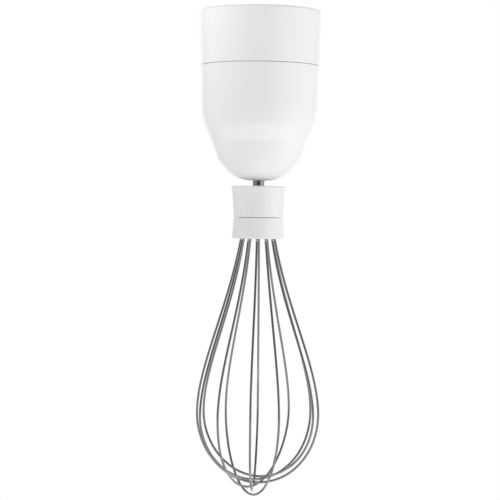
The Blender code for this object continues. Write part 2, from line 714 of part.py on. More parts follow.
def make_cover(parent):
    """The gearbox cover, with a raised boss for the input bush."""
    bore = INPUT_BUSH_RADIUS + SEAT_GAP
    boss = bore + COVER_BOSS_WALL
    boss_top = COVER_TOP_Z + COVER_BOSS_HEIGHT
    outline = soften(
        [
            (bore, boss_top, 0),
            (boss, boss_top, COVER_BOSS_ROUNDING),
            (boss, COVER_TOP_Z, COVER_BOSS_FILLET),
            (SPIGOT_RADIUS, COVER_TOP_Z, COVER_EDGE_ROUNDING),
            (SPIGOT_RADIUS, COVER_BOTTOM_Z, 0),
            (bore, COVER_BOTTOM_Z, 0),
        ]
    )
    cover = turned("gearbox_cover", outline, GREY_PLASTIC, parent, SHELL_STEPS)
    middle = (COVER_TOP_Z + COVER_BOTTOM_Z) / 2
    length = COVER_THICKNESS + 2 * CUT_MARGIN
    places = [upright(SCREW_CIRCLE, angle, middle) for angle in around(SCREW_COUNT, SCREW_PHASE)]
    combine(cover, rods_cutter("cover_holes", SCREW_HOLE_RADIUS, length, places, PIN_STEPS))


def make_cover_screws(parent):
    """The screws that hold the cover down, each with a bevelled head and a short point."""
    under = COVER_TOP_Z + SCREW_HEAD_LIFT
    top = under + SCREW_HEAD_HEIGHT
    outline = [
        (0, top),
        (SCREW_HEAD_RADIUS - SCREW_HEAD_BEVEL, top),
        (SCREW_HEAD_RADIUS, top - SCREW_HEAD_BEVEL),
        (SCREW_HEAD_RADIUS, under),
        (SCREW_SHANK_RADIUS, under),
        (SCREW_SHANK_RADIUS, under - SCREW_SHANK_LENGTH),
        (0, under - SCREW_SHANK_LENGTH - SCREW_POINT_LENGTH),
    ]
    for number, angle in enumerate(around(SCREW_COUNT, SCREW_PHASE), start=1):
        screw = turned(f"cover_screw_{number}", outline, POLISHED_STEEL, parent, PIN_STEPS)
        screw.location = (SCREW_CIRCLE * math.cos(angle), SCREW_CIRCLE * math.sin(angle), 0)


def make_ring_gear(parent):
    """The fixed internal gear, scalloped to clear the screw bosses, which keep it from turning."""
    tip_radius = MODULE * (RING_TEETH / 2 - ADDENDUM)
    teeth = gear_outline(RING_TEETH, RING_ROOT_RADIUS, tip_radius, -BACKLASH / 2)
    outline = circle(RING_RADIUS, SHELL_STEPS)
    thickness = RING_TOP_Z - RING_BOTTOM_Z
    solid = prism_cutter("ring_gear_body", [outline, teeth], RING_TOP_Z, RING_BOTTOM_Z)
    mesh = solid.data.copy()
    bpy.data.objects.remove(solid, do_unlink=True)
    ring = add_part("ring_gear", mesh, NATURAL_ACETAL, parent)
    middle = RING_TOP_Z - thickness / 2
    ring.location = (0, 0, middle)
    places = [upright(SCREW_CIRCLE, angle, middle) for angle in around(SCREW_COUNT, SCREW_PHASE)]
    length = thickness + 2 * CUT_MARGIN
    combine(ring, rods_cutter("ring_scallops", SCALLOP_RADIUS, length, places, PIN_STEPS))


def make_input(parent):
    """The drive coupling, its shaft and the sun gear, which turn with the motor."""
    outline = soften(
        [
            (INPUT_BORE, COUPLING_TOP_Z, 0),
            (COUPLING_RADIUS, COUPLING_TOP_Z, COUPLING_ROUNDING),
            (COUPLING_RADIUS, COUPLING_BOTTOM_Z, COUPLING_ROUNDING),
            (INPUT_BORE, COUPLING_BOTTOM_Z, 0),
        ]
    )
    coupling = turned("drive_coupling", outline, BLACK_ACETAL, parent, SMALL_STEPS)
    lobes = lobed_circle(COUPLING_CUP_RADIUS, COUPLING_LOBE_HEIGHT, COUPLING_LOBES, CUP_STEPS)
    combine(coupling, prism_cutter("coupling_cup", [lobes], COUPLING_TOP_Z + CUT_MARGIN, COUPLING_FLOOR_Z))
    shaft_top = COUPLING_FLOOR_Z - SEAT_GAP
    rod = rod_outline(INPUT_RADIUS, shaft_top, PLANET_BOTTOM_Z)
    turned("input_shaft", rod, POLISHED_STEEL, parent, PIN_STEPS)
    teeth = external_gear(SUN_TEETH, math.pi / SUN_TEETH)
    height = RETAINER_TOP_Z - PLANET_BOTTOM_Z
    data = prism_data("sun_gear", [teeth, circle(INPUT_BORE, PIN_STEPS)], height)
    sun = add_part("sun_gear", data, POLISHED_STEEL, parent)
    sun.location = (0, 0, PLANET_BOTTOM_Z + height / 2)


def make_input_bush(parent):
    flange = INPUT_BUSH_RADIUS + BUSH_FLANGE_LIP
    flange_bottom = BUSH_FLANGE_TOP_Z - BUSH_FLANGE
    outline = [
        (INPUT_BORE, BUSH_FLANGE_TOP_Z),
        (flange, BUSH_FLANGE_TOP_Z),
        (flange, flange_bottom),
        (INPUT_BUSH_RADIUS, flange_bottom),
        (INPUT_BUSH_RADIUS, COVER_BOTTOM_Z),
        (INPUT_BORE, COVER_BOTTOM_Z),
    ]
    turned("input_bush", outline, SINTERED_BRONZE, parent, SMALL_STEPS)


def make_carrier(parent):
    """The planet carrier, its pins, the retainer over the planets and the cross pin in its hub."""
    outline = soften(
        [
            (SLEEVE_BORE, CARRIER_TOP_Z, 0),
            (CARRIER_RADIUS, CARRIER_TOP_Z, CARRIER_ROUNDING),
            (CARRIER_RADIUS, CARRIER_BOTTOM_Z, CARRIER_ROUNDING),
            (CARRIER_HUB_RADIUS, CARRIER_BOTTOM_Z, CARRIER_HUB_FILLET),
            (CARRIER_HUB_RADIUS, CARRIER_HUB_Z, 0),
            (SLEEVE_BORE, CARRIER_HUB_Z, 0),
        ]
    )
    carrier = turned("planet_carrier", outline, NATURAL_ACETAL, parent, HUB_STEPS)
    pin_hole = PIN_RADIUS + RUNNING_GAP
    pin_reach = RETAINER_TOP_Z - CARRIER_BOTTOM_Z + 2 * CUT_MARGIN
    pin_middle = (RETAINER_TOP_Z + CARRIER_BOTTOM_Z) / 2
    places = [upright(CENTRE_DISTANCE, angle, pin_middle) for angle in around(PLANET_COUNT)]
    combine(carrier, rods_cutter("pin_holes", pin_hole, pin_reach, places, PIN_STEPS))
    crosswise = Matrix.Translation((0, 0, DRIVE_PIN_Z)) @ Matrix.Rotation(math.pi / 2, 4, "Y")
    pin_gap = DRIVE_PIN_RADIUS + RUNNING_GAP
    cross_reach = DRIVE_PIN_LENGTH + 2 * CUT_MARGIN
    cross_hole = rods_cutter("drive_pin_hole", pin_gap, cross_reach, [crosswise], PIN_STEPS)
    combine(carrier, cross_hole)
    rod = rod_outline(DRIVE_PIN_RADIUS, DRIVE_PIN_LENGTH / 2, -DRIVE_PIN_LENGTH / 2)
    pin = turned("drive_pin", rod, POLISHED_STEEL, parent, PIN_STEPS)
    pin.matrix_basis = crosswise
    retainer_bore = MODULE * (SUN_TEETH / 2 + ADDENDUM) + RETAINER_SUN_GAP
    plate = sleeve_outline(retainer_bore, CARRIER_RADIUS, RETAINER_TOP_Z, RETAINER_BOTTOM_Z)
    retainer = turned("planet_retainer", plate, POLISHED_STEEL, parent, SMALL_STEPS)
    combine(retainer, rods_cutter("retainer_holes", pin_hole, pin_reach, places, PIN_STEPS))
    for number, angle in enumerate(around(PLANET_COUNT), start=1):
        outline = [
            (0, PIN_TOP_Z),
            (PIN_HEAD_RADIUS, PIN_TOP_Z),
            (PIN_HEAD_RADIUS, PIN_TOP_Z - PIN_HEAD_HEIGHT),
            (PIN_RADIUS, PIN_TOP_Z - PIN_HEAD_HEIGHT),
            (PIN_RADIUS, CARRIER_BOTTOM_Z + SEAT_GAP),
            (0, CARRIER_BOTTOM_Z + SEAT_GAP),
        ]
        pin = turned(f"planet_pin_{number}", outline, POLISHED_STEEL, parent, PIN_STEPS)
        pin.location = (CENTRE_DISTANCE * math.cos(angle), CENTRE_DISTANCE * math.sin(angle), 0)
    make_output_sleeve(parent, cross_hole)


def make_output_sleeve(parent, cross_hole):
    """The turning sleeve that takes the whisk's shaft: a round bore below and a hexagon socket above."""
    outline = soften(
        [
            (0, SLEEVE_TOP_Z, 0),
            (SLEEVE_RADIUS, SLEEVE_TOP_Z, SLEEVE_ROUNDING),
            (SLEEVE_RADIUS, SLEEVE_BOTTOM_Z, 0),
            (SHAFT_BORE, SLEEVE_BOTTOM_Z, 0),
            (SHAFT_BORE, SHAFT_HEX_END_Z + SEAT_GAP, 0),
            (0, SHAFT_HEX_END_Z + SEAT_GAP, 0),
        ]
    )
    sleeve = turned("output_sleeve", outline, POLISHED_STEEL, parent, SMALL_STEPS)
    sides = [hexagon(SLEEVE_SOCKET_FLATS)]
    combine(sleeve, prism_cutter("hexagon_socket", sides, SOCKET_FLOOR_Z, SHAFT_HEX_END_Z - CUT_MARGIN))
    combine(sleeve, cross_hole)


def make_planets(carrier_axis):
    """The planet gears, each turned so that its teeth meet those of the fixed ring."""
    bore = PIN_RADIUS + RUNNING_GAP
    for number, angle in enumerate(around(PLANET_COUNT), start=1):
        place = (CENTRE_DISTANCE * math.cos(angle), CENTRE_DISTANCE * math.sin(angle), 0)
        axis = add_axis(f"planet_axis_{number}", place, carrier_axis)
        outlines = [external_gear(PLANET_TEETH), circle(bore, PIN_STEPS)]
        data = prism_data(f"planet_gear_{number}", outlines, GEAR_FACE)
        planet = add_part(f"planet_gear_{number}", data, NATURAL_ACETAL, axis)
        planet.location = (0, 0, PLANET_TOP_Z - GEAR_FACE / 2)
        planet.rotation_euler = (0, 0, angle * (1 - RING_TEETH / PLANET_TEETH))


def make_bearings(parent):
    """What carries and seals the output sleeve: a thrust washer, two bushes and a lip seal."""
    flange = BUSH_RADIUS + BUSH_FLANGE_LIP
    washer_bottom = WASHER_TOP_Z - WASHER_THICKNESS
    washer = sleeve_outline(SLEEVE_BORE, flange, WASHER_TOP_Z, washer_bottom)
    turned("thrust_washer", washer, POLISHED_STEEL, parent, SMALL_STEPS)
    flange_bottom = UPPER_BUSH_TOP_Z - BUSH_FLANGE
    upper = [
        (SLEEVE_BORE, UPPER_BUSH_TOP_Z),
        (flange, UPPER_BUSH_TOP_Z),
        (flange, flange_bottom),
        (BUSH_RADIUS, flange_bottom),
        (BUSH_RADIUS, flange_bottom - UPPER_BUSH_LENGTH),
        (SLEEVE_BORE, flange_bottom - UPPER_BUSH_LENGTH),
    ]
    turned("upper_output_bush", upper, SINTERED_BRONZE, parent, SMALL_STEPS)
    lower_top = LOWER_BUSH_BOTTOM_Z + LOWER_BUSH_LENGTH
    lower = sleeve_outline(SLEEVE_BORE, BUSH_RADIUS, lower_top, LOWER_BUSH_BOTTOM_Z)
    turned("lower_output_bush", lower, SINTERED_BRONZE, parent, SMALL_STEPS)
    lip = SHAFT_RADIUS + SEAL_LIP_GAP
    body = lip + SEAL_LIP_THICKNESS
    seal = [
        (body, SEAL_TOP_Z),
        (BUSH_RADIUS, SEAL_TOP_Z),
        (BUSH_RADIUS, SEAL_BOTTOM_Z),
        (lip, SEAL_BOTTOM_Z),
        (lip, SEAL_BOTTOM_Z + SEAL_LIP_THICKNESS),
        (body, SEAL_BOTTOM_Z + 2 * SEAL_LIP_THICKNESS),
    ]
    turned("shaft_seal", seal, BLACK_RUBBER, parent, SMALL_STEPS)


def make_whisk_shaft(parent):
    """The whisk's steel shaft: a hexagon end above, and a groove with the rubber ring that grips."""
    groove = SHAFT_RADIUS - GRIP_GROOVE_DEPTH
    groove_half = GRIP_RING_SECTION + RUNNING_GAP
    outline = [
        (0, SHAFT_TOP_Z),
        (SHAFT_RADIUS - SHAFT_BEVEL, SHAFT_TOP_Z),
        (SHAFT_RADIUS, SHAFT_TOP_Z - SHAFT_BEVEL),
        (SHAFT_RADIUS, GRIP_GROOVE_Z + groove_half),
        (groove, GRIP_GROOVE_Z + groove_half),
        (groove, GRIP_GROOVE_Z - groove_half),
        (SHAFT_RADIUS, GRIP_GROOVE_Z - groove_half),
        (SHAFT_RADIUS, SHAFT_BOTTOM_Z),
        (0, SHAFT_BOTTOM_Z),
    ]
    shaft = turned("whisk_shaft", outline, POLISHED_STEEL, parent, SMALL_STEPS)
    sides = [circle(SHAFT_RADIUS + CUT_MARGIN, SMALL_STEPS), hexagon(SHAFT_HEX_ACROSS_FLATS)]
    combine(shaft, prism_cutter("shaft_flats", sides, SHAFT_TOP_Z + CUT_MARGIN, SHAFT_HEX_END_Z))
    grip_radius = groove + RUNNING_GAP + GRIP_RING_SECTION
    section = [
        (grip_radius + r, GRIP_GROOVE_Z - z)
        for r, z in circle(GRIP_RING_SECTION, GRIP_RING_STEPS, math.pi / GRIP_RING_STEPS)
    ]
    turned("grip_ring", section, BLACK_RUBBER, parent, SMALL_STEPS)


def make_hub(parent):
    """The whisk's hub: an upper sleeve, a lower ring and the holder that the wires are set in."""
    top = [
        (HUB_BORE, HUB_TOP_Z, 0),
        (HUB_LIP_RADIUS, HUB_TOP_Z, HUB_EDGE_ROUNDING),
        (HUB_NECK_RADIUS, HUB_TOP_Z - HUB_NECK_DROP, HUB_NECK_ROUNDING),
        (HUB_WAIST_RADIUS, HUB_SEAM_Z, HUB_SEAM_ROUNDING),
        (HOLDER_RADIUS, HUB_SEAM_Z, 0),
        (HOLDER_RADIUS, HUB_SEAM_Z - HUB_SPIGOT_HEIGHT, 0),
        (HUB_BORE, HUB_SEAM_Z - HUB_SPIGOT_HEIGHT, 0),
    ]
    turned("hub_sleeve", soften(top), WHITE_GLOSS, parent, HUB_STEPS)
    lip_radius = HUB_RING_INNER_RADIUS - HUB_RING_LIP_DEPTH
    ring = [
        (HUB_RING_INNER_RADIUS, HUB_RING_TOP_Z, 0),
        (HUB_WAIST_RADIUS, HUB_RING_TOP_Z, HUB_SEAM_ROUNDING),
        (HUB_RING_RADIUS, HUB_BOTTOM_Z, HUB_EDGE_ROUNDING),
        (lip_radius, HUB_BOTTOM_Z, 0),
        (lip_radius, HUB_BOTTOM_Z + HUB_RING_LIP_HEIGHT, 0),
        (HUB_RING_INNER_RADIUS, HUB_BOTTOM_Z + HUB_RING_LIP_HEIGHT, 0),
    ]
    turned("hub_ring", soften(ring), WHITE_GLOSS, parent, HUB_STEPS)
    plug = [
        (0, HOLDER_TOP_Z, 0),
        (HOLDER_RADIUS, HOLDER_TOP_Z, 0),
        (HOLDER_RADIUS, HOLDER_BOTTOM_Z, HOLDER_ROUNDING),
        (0, HOLDER_BOTTOM_Z, 0),
    ]
    holder = turned("wire_holder", soften(plug), WHITE_GLOSS, parent, HUB_STEPS)
    bore = [
        (0, HOLDER_TOP_Z + SHAFT_INTO_HOLDER),
        (HUB_BORE, HOLDER_TOP_Z + SHAFT_INTO_HOLDER),
        (HUB_BORE, SHAFT_BOTTOM_Z - SEAT_GAP),
        (0, SHAFT_BOTTOM_Z - SEAT_GAP),
    ]
    combine(holder, turned_cutter("holder_bore", bore, SMALL_STEPS))
    middle = (HOLDER_TOP_Z + HOLDER_BOTTOM_Z) / 2
    tilt = Matrix.Rotation(-math.atan(LEG_SLOPE), 4, "Y")
    legs = around(2 * len(LOOPS), LOOP_PHASE)
    places = [upright(leg_radius(middle), angle, middle) @ tilt for angle in legs]
    length = HOLDER_TOP_Z - HOLDER_BOTTOM_Z + 2 * CUT_MARGIN
    combine(holder, rods_cutter("wire_holes", WIRE_RADIUS + WIRE_HOLE_GAP, length, places, WIRE_HOLE_STEPS))


def leg_radius(z):
    """How far a wire's straight leg is from the axis at a height inside the hub."""
    return LEG_CIRCLE_RADIUS + LEG_SLOPE * (HUB_BOTTOM_Z - z)


def bezier(start, pull_start, pull_end, end, share):
    rest = 1 - share
    weights = (rest**3, 3 * rest**2 * share, 3 * rest * share**2, share**3)
    points = (start, pull_start, pull_end, end)
    return tuple(sum(w * p[axis] for w, p in zip(weights, points)) for axis in range(2))


def loop_half(tip_z):
    """One leg of a loop in its own plane, from inside the hub to the tip, as (radius, height) points."""
    length = math.hypot(1, LEG_SLOPE)
    leg_end = (LEG_CIRCLE_RADIUS, HUB_BOTTOM_Z)
    pull_start = (
        leg_end[0] + SHOULDER_PULL * LEG_SLOPE / length,
        leg_end[1] - SHOULDER_PULL / length,
    )
    belly = (BELLY_RADIUS, BELLY_Z)
    pull_end = (BELLY_RADIUS, BELLY_Z + BELLY_PULL)
    wire_top = HOLDER_TOP_Z - SEAT_GAP
    shares = [step / WIRE_SHOULDER_STEPS for step in range(WIRE_SHOULDER_STEPS + 1)]
    points = [(leg_radius(wire_top), wire_top)]
    points += [bezier(leg_end, pull_start, pull_end, belly, share) for share in shares]
    for step in range(1, WIRE_BELLY_STEPS + 1):
        angle = math.pi / 2 * step / WIRE_BELLY_STEPS
        points.append((BELLY_RADIUS * math.cos(angle), BELLY_Z - (BELLY_Z - tip_z) * math.sin(angle)))
    return points


def eased(share):
    """A share from 0 to 1 that starts and ends gently."""
    share = min(max(share, 0), 1)
    return share**2 * (3 - 2 * share)


def make_loop(number, twelfths, shortfall, twist, belly_shift, tip_shift, parent):
    """A wire bent to a balloon loop, both ends of which are set in the hub."""
    tip_z = HUB_BOTTOM_Z - LONGEST_LOOP_DROP + shortfall
    half = loop_half(tip_z)
    flat = half + [(-r, z) for r, z in reversed(half[:-1])]
    angle = LOOP_PHASE + 2 * math.pi * twelfths / (2 * len(LOOPS))
    curve = bpy.data.curves.new(f"wire_loop_{number}", "CURVE")
    curve.dimensions = "3D"
    curve.bevel_depth = WIRE_RADIUS
    curve.bevel_resolution = 2
    curve.use_fill_caps = True
    spline = curve.splines.new("POLY")
    spline.points.add(len(flat) - 1)
    for point, (r, z) in zip(spline.points, flat):
        shoulder_share = eased((HUB_BOTTOM_Z - z) / BELLY_DROP)
        belly_share = eased((BELLY_Z - z) / (BELLY_Z - tip_z))
        turn = angle + math.radians(twist) * shoulder_share
        shift = belly_shift * shoulder_share + (tip_shift - belly_shift) * belly_share
        point.co = (r * math.cos(turn) + shift, r * math.sin(turn), z, 1)
    spline.use_smooth = True
    add_part(f"wire_loop_{number}", curve, POLISHED_STEEL, parent)


def build():
    housing = add_axis("housing_body")
    input_axis = add_axis("input_axis", parent=housing)
    carrier_axis = add_axis("carrier_axis", parent=housing)
    whisk_axis = add_axis("whisk_axis", parent=carrier_axis)
    make_collar(housing)
    make_lower_shell(housing)
    make_cover(housing)
    make_cover_screws(housing)
    make_ring_gear(housing)
    make_input_bush(housing)
    make_bearings(housing)
    make_input(input_axis)
    make_carrier(carrier_axis)
    make_planets(carrier_axis)
    make_whisk_shaft(whisk_axis)
    make_hub(whisk_axis)
    for number, shape in enumerate(LOOPS, start=1):
        make_loop(number, *shape, whisk_axis)


clear_scene()
PARTS = new_collection("blender_whisk_attachment")
CUTTERS = new_collection("cutters")
CUTTERS.hide_render = True
build()
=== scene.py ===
"""Looks of a hand blender's whisk attachment: smooth skins, finishes, studio light and camera.

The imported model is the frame. Every piece here stands where its CAD solid does, in metres, with the
origin at the centre of the socket's rim and +Z up. The whisk hangs down from the socket.
"""

import json
import math

import bmesh
import bpy
from mathutils import Matrix, Vector


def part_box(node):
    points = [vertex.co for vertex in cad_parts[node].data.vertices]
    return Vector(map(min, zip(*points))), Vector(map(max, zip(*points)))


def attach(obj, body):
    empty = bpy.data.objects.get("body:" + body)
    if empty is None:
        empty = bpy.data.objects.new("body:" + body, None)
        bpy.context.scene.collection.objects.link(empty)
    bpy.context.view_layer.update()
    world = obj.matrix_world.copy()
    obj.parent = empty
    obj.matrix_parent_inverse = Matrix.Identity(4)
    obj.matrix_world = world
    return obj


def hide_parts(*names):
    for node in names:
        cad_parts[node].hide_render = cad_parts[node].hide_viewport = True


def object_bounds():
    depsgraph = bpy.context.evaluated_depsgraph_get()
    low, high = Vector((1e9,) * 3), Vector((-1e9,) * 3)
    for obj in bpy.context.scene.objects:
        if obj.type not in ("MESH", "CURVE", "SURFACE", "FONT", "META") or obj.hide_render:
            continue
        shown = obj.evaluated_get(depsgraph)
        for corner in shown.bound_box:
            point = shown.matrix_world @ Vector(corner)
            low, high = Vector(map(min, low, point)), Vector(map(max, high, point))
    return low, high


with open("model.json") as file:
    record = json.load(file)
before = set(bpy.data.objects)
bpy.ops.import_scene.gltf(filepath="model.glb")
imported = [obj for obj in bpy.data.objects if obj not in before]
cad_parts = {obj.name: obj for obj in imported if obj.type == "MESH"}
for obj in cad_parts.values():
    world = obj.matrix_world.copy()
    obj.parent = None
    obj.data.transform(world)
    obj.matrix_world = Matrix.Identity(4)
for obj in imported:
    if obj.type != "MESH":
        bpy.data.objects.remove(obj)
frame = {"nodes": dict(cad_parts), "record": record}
cad_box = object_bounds()

# Camera: its height, distance and small tilts were measured in the photograph
CAMERA_PLACE = (-0.00395, -0.928, -0.1041)
CAMERA_LENS = 131.98
CAMERA_SENSOR = 36.0
CAMERA_PITCH = math.radians(-1.03)
CAMERA_ROLL = math.radians(0.65)

# Colours of what only glows
WHITE = (1.0, 1.0, 1.0, 1.0)
BLACK = (0.0, 0.0, 0.0)

# The floor is lit as the object is. Where it is seen, a glow lifts it to white but for the shadow on it.
FLOOR_BELOW = 1.2
FLOOR_SIZE = 0.6
FLOOR_COLOUR = (0.88, 0.88, 0.88)
FLOOR_DARKER = (0.87, 0.87, 0.87)
FLOOR_CELLS = 3.0
FLOOR_ROUGHNESS = 0.9
FLOOR_GLOW = 0.36

# The room's even light, which is stronger from below
ROOM_LIGHT = 0.735
ROOM_LIGHT_BELOW = 0.94
ROOM_LIGHT_BELOW_FULL = -0.5

# What reflections show of the room: a white backdrop behind, the dark front, and its low part, sides and
# top. FROM and FULL are where each starts and is whole, as shares of a direction's length along one axis.
BACKDROP = 1.0
BACKDROP_FROM = 0.70
BACKDROP_FULL = 0.95
ROOM_DARK = 0.04
ROOM_LOW = 0.30
ROOM_LOW_FROM = -0.1
ROOM_LOW_FULL = -0.6
ROOM_LEFT = 0.28
ROOM_RIGHT = 0.50
ROOM_SIDE_FROM = 0.42
ROOM_SIDE_FULL = 0.62
ROOM_ABOVE = 0.12
ROOM_ABOVE_FROM = 0.08
ROOM_ABOVE_FULL = 0.40

# Each lamp's place, what it aims at, its width and height, and its strength. The upper one is close to the
# collar and aims past it, so that its light fades from the rim down.
LAMPS = {
    "right_softbox": ((1.34, -0.34, -0.45), (0, 0, -0.10), (0.9, 0.9), 6.9),
    "left_softbox": ((-0.9, -0.2, -0.3), (0, 0, -0.10), (0.5, 0.5), 0.65),
    "upper_softbox": ((-0.25, -0.08, 0.03), (-0.05, -0.015, 0.39), (0.1, 0.1), 0.435),
}

# A bent low card that the shell's conical band reflects, and a dim flag that keeps it out of the wires. Both
# span CARD_TURN to either side of the front. Their edges go by the slope of the surface that shows them.
CARD_TURN = math.radians(46)
CARD_STEPS = 24
CARD_SLOPE = math.radians(23.8)
CARD_HALF = math.radians(2.2)
CARD_THIN = 0.8
CARD_DISTANCE = 0.6
CARD_STRENGTH = 1.5
FLAG_DISTANCE = 0.21
FLAG_CLEAR = math.radians(0.6)
FLAG_WIDTH = math.radians(14)
FLAG_STRENGTH = 0.33

# Noises: cells a metre, detail and roughness, then the stretch that draws one out along the axes on which it
# is small, and the map that it follows in place of the piece's own axes
FLOW_MARKS = (55.0, 3.0, 0.5, (1.0, 1.0, 0.35))
GLOSS_PATCHES = (240.0, 4.0, 0.6)
TURNING_MARKS = (9000.0, 3.0, 0.7, (0.02, 0.02, 1.0))
DRAWING_MARKS = (40.0, 2.0, 0.6, (1.0, 0.001, 1.0), "lengthwise")
BRONZE_GRAIN = (4500.0, 4.0, 0.7)

# Reliefs: noises with their depths in metres
ORANGE_PEEL = [((900.0, 2.0), 0.000006), ((5200.0, 1.0), 0.0000012)]
TURNED_RELIEF = [(TURNING_MARKS, 0.0000025)]

# A noise's values lie mostly between these
NOISE_LOW = 0.3
NOISE_HIGH = 0.7

# Finishes by the slot that they are for: the even look, then what varies it. Colours and gloss are a noise
# and the two values between which it goes.
FINISH_ROWS = {
    "housing_white": {
        "look": {"colour": (0.86, 0.86, 0.86), "roughness": 0.13, "IOR": 1.5},
        "colours": (FLOW_MARKS, (0.845, 0.845, 0.845), (0.86, 0.86, 0.86)),
        "gloss": (GLOSS_PATCHES, 0.10, 0.17),
        "reliefs": ORANGE_PEEL,
    },
    "hub_white": {
        "look": {"colour": (0.835, 0.835, 0.835), "roughness": 0.22, "IOR": 1.5},
        "colours": (FLOW_MARKS, (0.82, 0.82, 0.82), (0.835, 0.835, 0.835)),
        "gloss": (GLOSS_PATCHES, 0.19, 0.26),
        "reliefs": ORANGE_PEEL,
    },
    "cover_grey": {
        "look": {"colour": (0.56, 0.56, 0.555), "roughness": 0.42, "IOR": 1.5},
        "colours": ((70.0, 3.0), (0.53, 0.53, 0.525), (0.58, 0.58, 0.575)),
        "gloss": ((300.0, 2.0), 0.36, 0.48),
        "reliefs": [((3500.0, 3.0, 0.7), 0.00001)],
    },
    "gear_acetal": {
        "look": {"colour": (0.80, 0.79, 0.74), "roughness": 0.38, "IOR": 1.48},
        "colours": ((120.0, 3.0), (0.76, 0.75, 0.69), (0.82, 0.81, 0.76)),
        "gloss": ((500.0, 2.0), 0.32, 0.46),
        "reliefs": [((2500.0, 2.0), 0.000006)],
    },
    "coupling_black": {
        "look": {"colour": (0.028, 0.028, 0.030), "roughness": 0.42, "IOR": 1.48},
        "colours": ((200.0, 4.0), (0.022, 0.022, 0.024), (0.040, 0.040, 0.042)),
        "gloss": ((650.0, 3.0), 0.34, 0.52),
        "reliefs": [((3000.0, 3.0, 0.65), 0.00001)],
    },
    "inner_steel": {
        "look": {"colour": (0.62, 0.61, 0.60), "roughness": 0.28, "metallic": 1.0},
        "colours": ((400.0, 2.0), (0.558, 0.549, 0.54), (0.62, 0.61, 0.60)),
        "gloss": (TURNING_MARKS, 0.23, 0.36),
        "reliefs": TURNED_RELIEF,
    },
    "screw_steel": {
        "look": {"colour": (0.66, 0.67, 0.68), "roughness": 0.3, "metallic": 1.0},
        "colours": ((900.0, 3.0), (0.52, 0.53, 0.56), (0.72, 0.73, 0.73)),
        "gloss": ((1600.0, 3.0), 0.22, 0.42),
        "reliefs": [((6000.0, 2.0), 0.000003)],
    },
    "bush_bronze": {
        "look": {"colour": (0.60, 0.43, 0.23), "roughness": 0.42, "metallic": 1.0},
        "colours": (BRONZE_GRAIN, (0.42, 0.29, 0.15), (0.68, 0.50, 0.28)),
        "gloss": (BRONZE_GRAIN, 0.34, 0.55),
        "reliefs": [(BRONZE_GRAIN, 0.000012)],
    },
    "seal_rubber": {
        "look": {"colour": (0.022, 0.022, 0.022), "roughness": 0.62, "IOR": 1.5},
        "colours": ((600.0, 4.0), (0.016, 0.016, 0.016), (0.034, 0.034, 0.034)),
        "gloss": ((1500.0, 3.0), 0.52, 0.74),
        "reliefs": [((7000.0, 3.0, 0.7), 0.000008)],
    },
    "shaft_steel": {
        "look": {"colour": (0.66, 0.655, 0.65), "roughness": 0.17, "metallic": 1.0},
        "colours": ((400.0, 2.0), (0.594, 0.5895, 0.585), (0.66, 0.655, 0.65)),
        "gloss": (TURNING_MARKS, 0.12, 0.25),
        "reliefs": TURNED_RELIEF,
    },
    "wire_steel": {
        "look": {"colour": (0.69, 0.685, 0.68), "roughness": 0.09, "metallic": 1.0},
        "colours": ((180.0, 2.0), (0.66, 0.655, 0.65), (0.71, 0.705, 0.70)),
        "gloss": (DRAWING_MARKS, 0.06, 0.14),
        "reliefs": [(DRAWING_MARKS, 0.0000006)],
    },
}

# Sockets of the Mix node, which has its own for each kind of value
MIX_FACTOR = 0
MIX_NUMBERS = (2, 3)
MIX_NUMBER_RESULT = 0
MIX_COLOURS = (6, 7)
MIX_COLOUR_RESULT = 2

# The two values of an outline's points
RADIUS = 0
HEIGHT = 1

# Clearances, the largest share of a side that an arc takes up, and facets as fine as the render needs
SEAT_GAP = 0.0003
SEAM_GAP = 0.0002
RUNNING_GAP = 0.00015
CUT_MARGIN = 0.001
FILLET_SHARE = 0.97
CHORD_ERROR = 0.000008
LONGEST_FACET = 0.0025
ROUND_STEPS = 120
SMALL_STEPS = 48
SHARP_ANGLE = math.radians(32)

# Socket collar and its bayonet lugs
RIM_RADIUS = 0.031
RIM_ROUNDING = 0.0012
RIM_INNER_ROUNDING = 0.0006
COLLAR_TAPER = 0.001
WALL = 0.0025
EDGE_BREAK = 0.00015
SNAP_BEAD_HEIGHT = 0.0005
SNAP_BEAD_WIDTH = 0.0006
SNAP_BEAD_ABOVE_SEAM = 0.002
LUG_COUNT = 3
LUG_DEPTH = 0.0016
LUG_HEIGHT = 0.003
LUG_BELOW_RIM = 0.003
LUG_ANGLE = math.radians(26)
LUG_PHASE = math.radians(90)
LUG_STEPS = 16

# Lower shell, section from the seam down
BARREL_HEIGHT = 0.0264
BARREL_TAPER = 0.00085
BARREL_ROUNDING = 0.028
BAND_HEIGHT = 0.012
BAND_TAPER = 0.0052
BAND_CREASE = 0.0015
CONE_HEIGHT = 0.009
CONE_TAPER = 0.0032
CONE_ROUNDING = 0.003
BOTTOM_EDGE_RADIUS = 0.0118
BOTTOM_ROUNDING = 0.0172
SPIGOT_WALL = 0.002
SPIGOT_ROOT = 0.0016
SHAFT_HOLE_GAP = 0.0006
FLOOR_THICKNESS = 0.0022
BOSS_BORE = 0.00745
BOSS_WALL = 0.002
BOSS_RIB_COUNT = 6
BOSS_RIB_THICKNESS = 0.0015
BOSS_RIB_DROP = 0.007
RING_RIB_COUNT = 9
RING_RIB_THICKNESS = 0.0012
RING_LEDGE_DEPTH = 0.002
RING_LEDGE_HEIGHT = 0.006

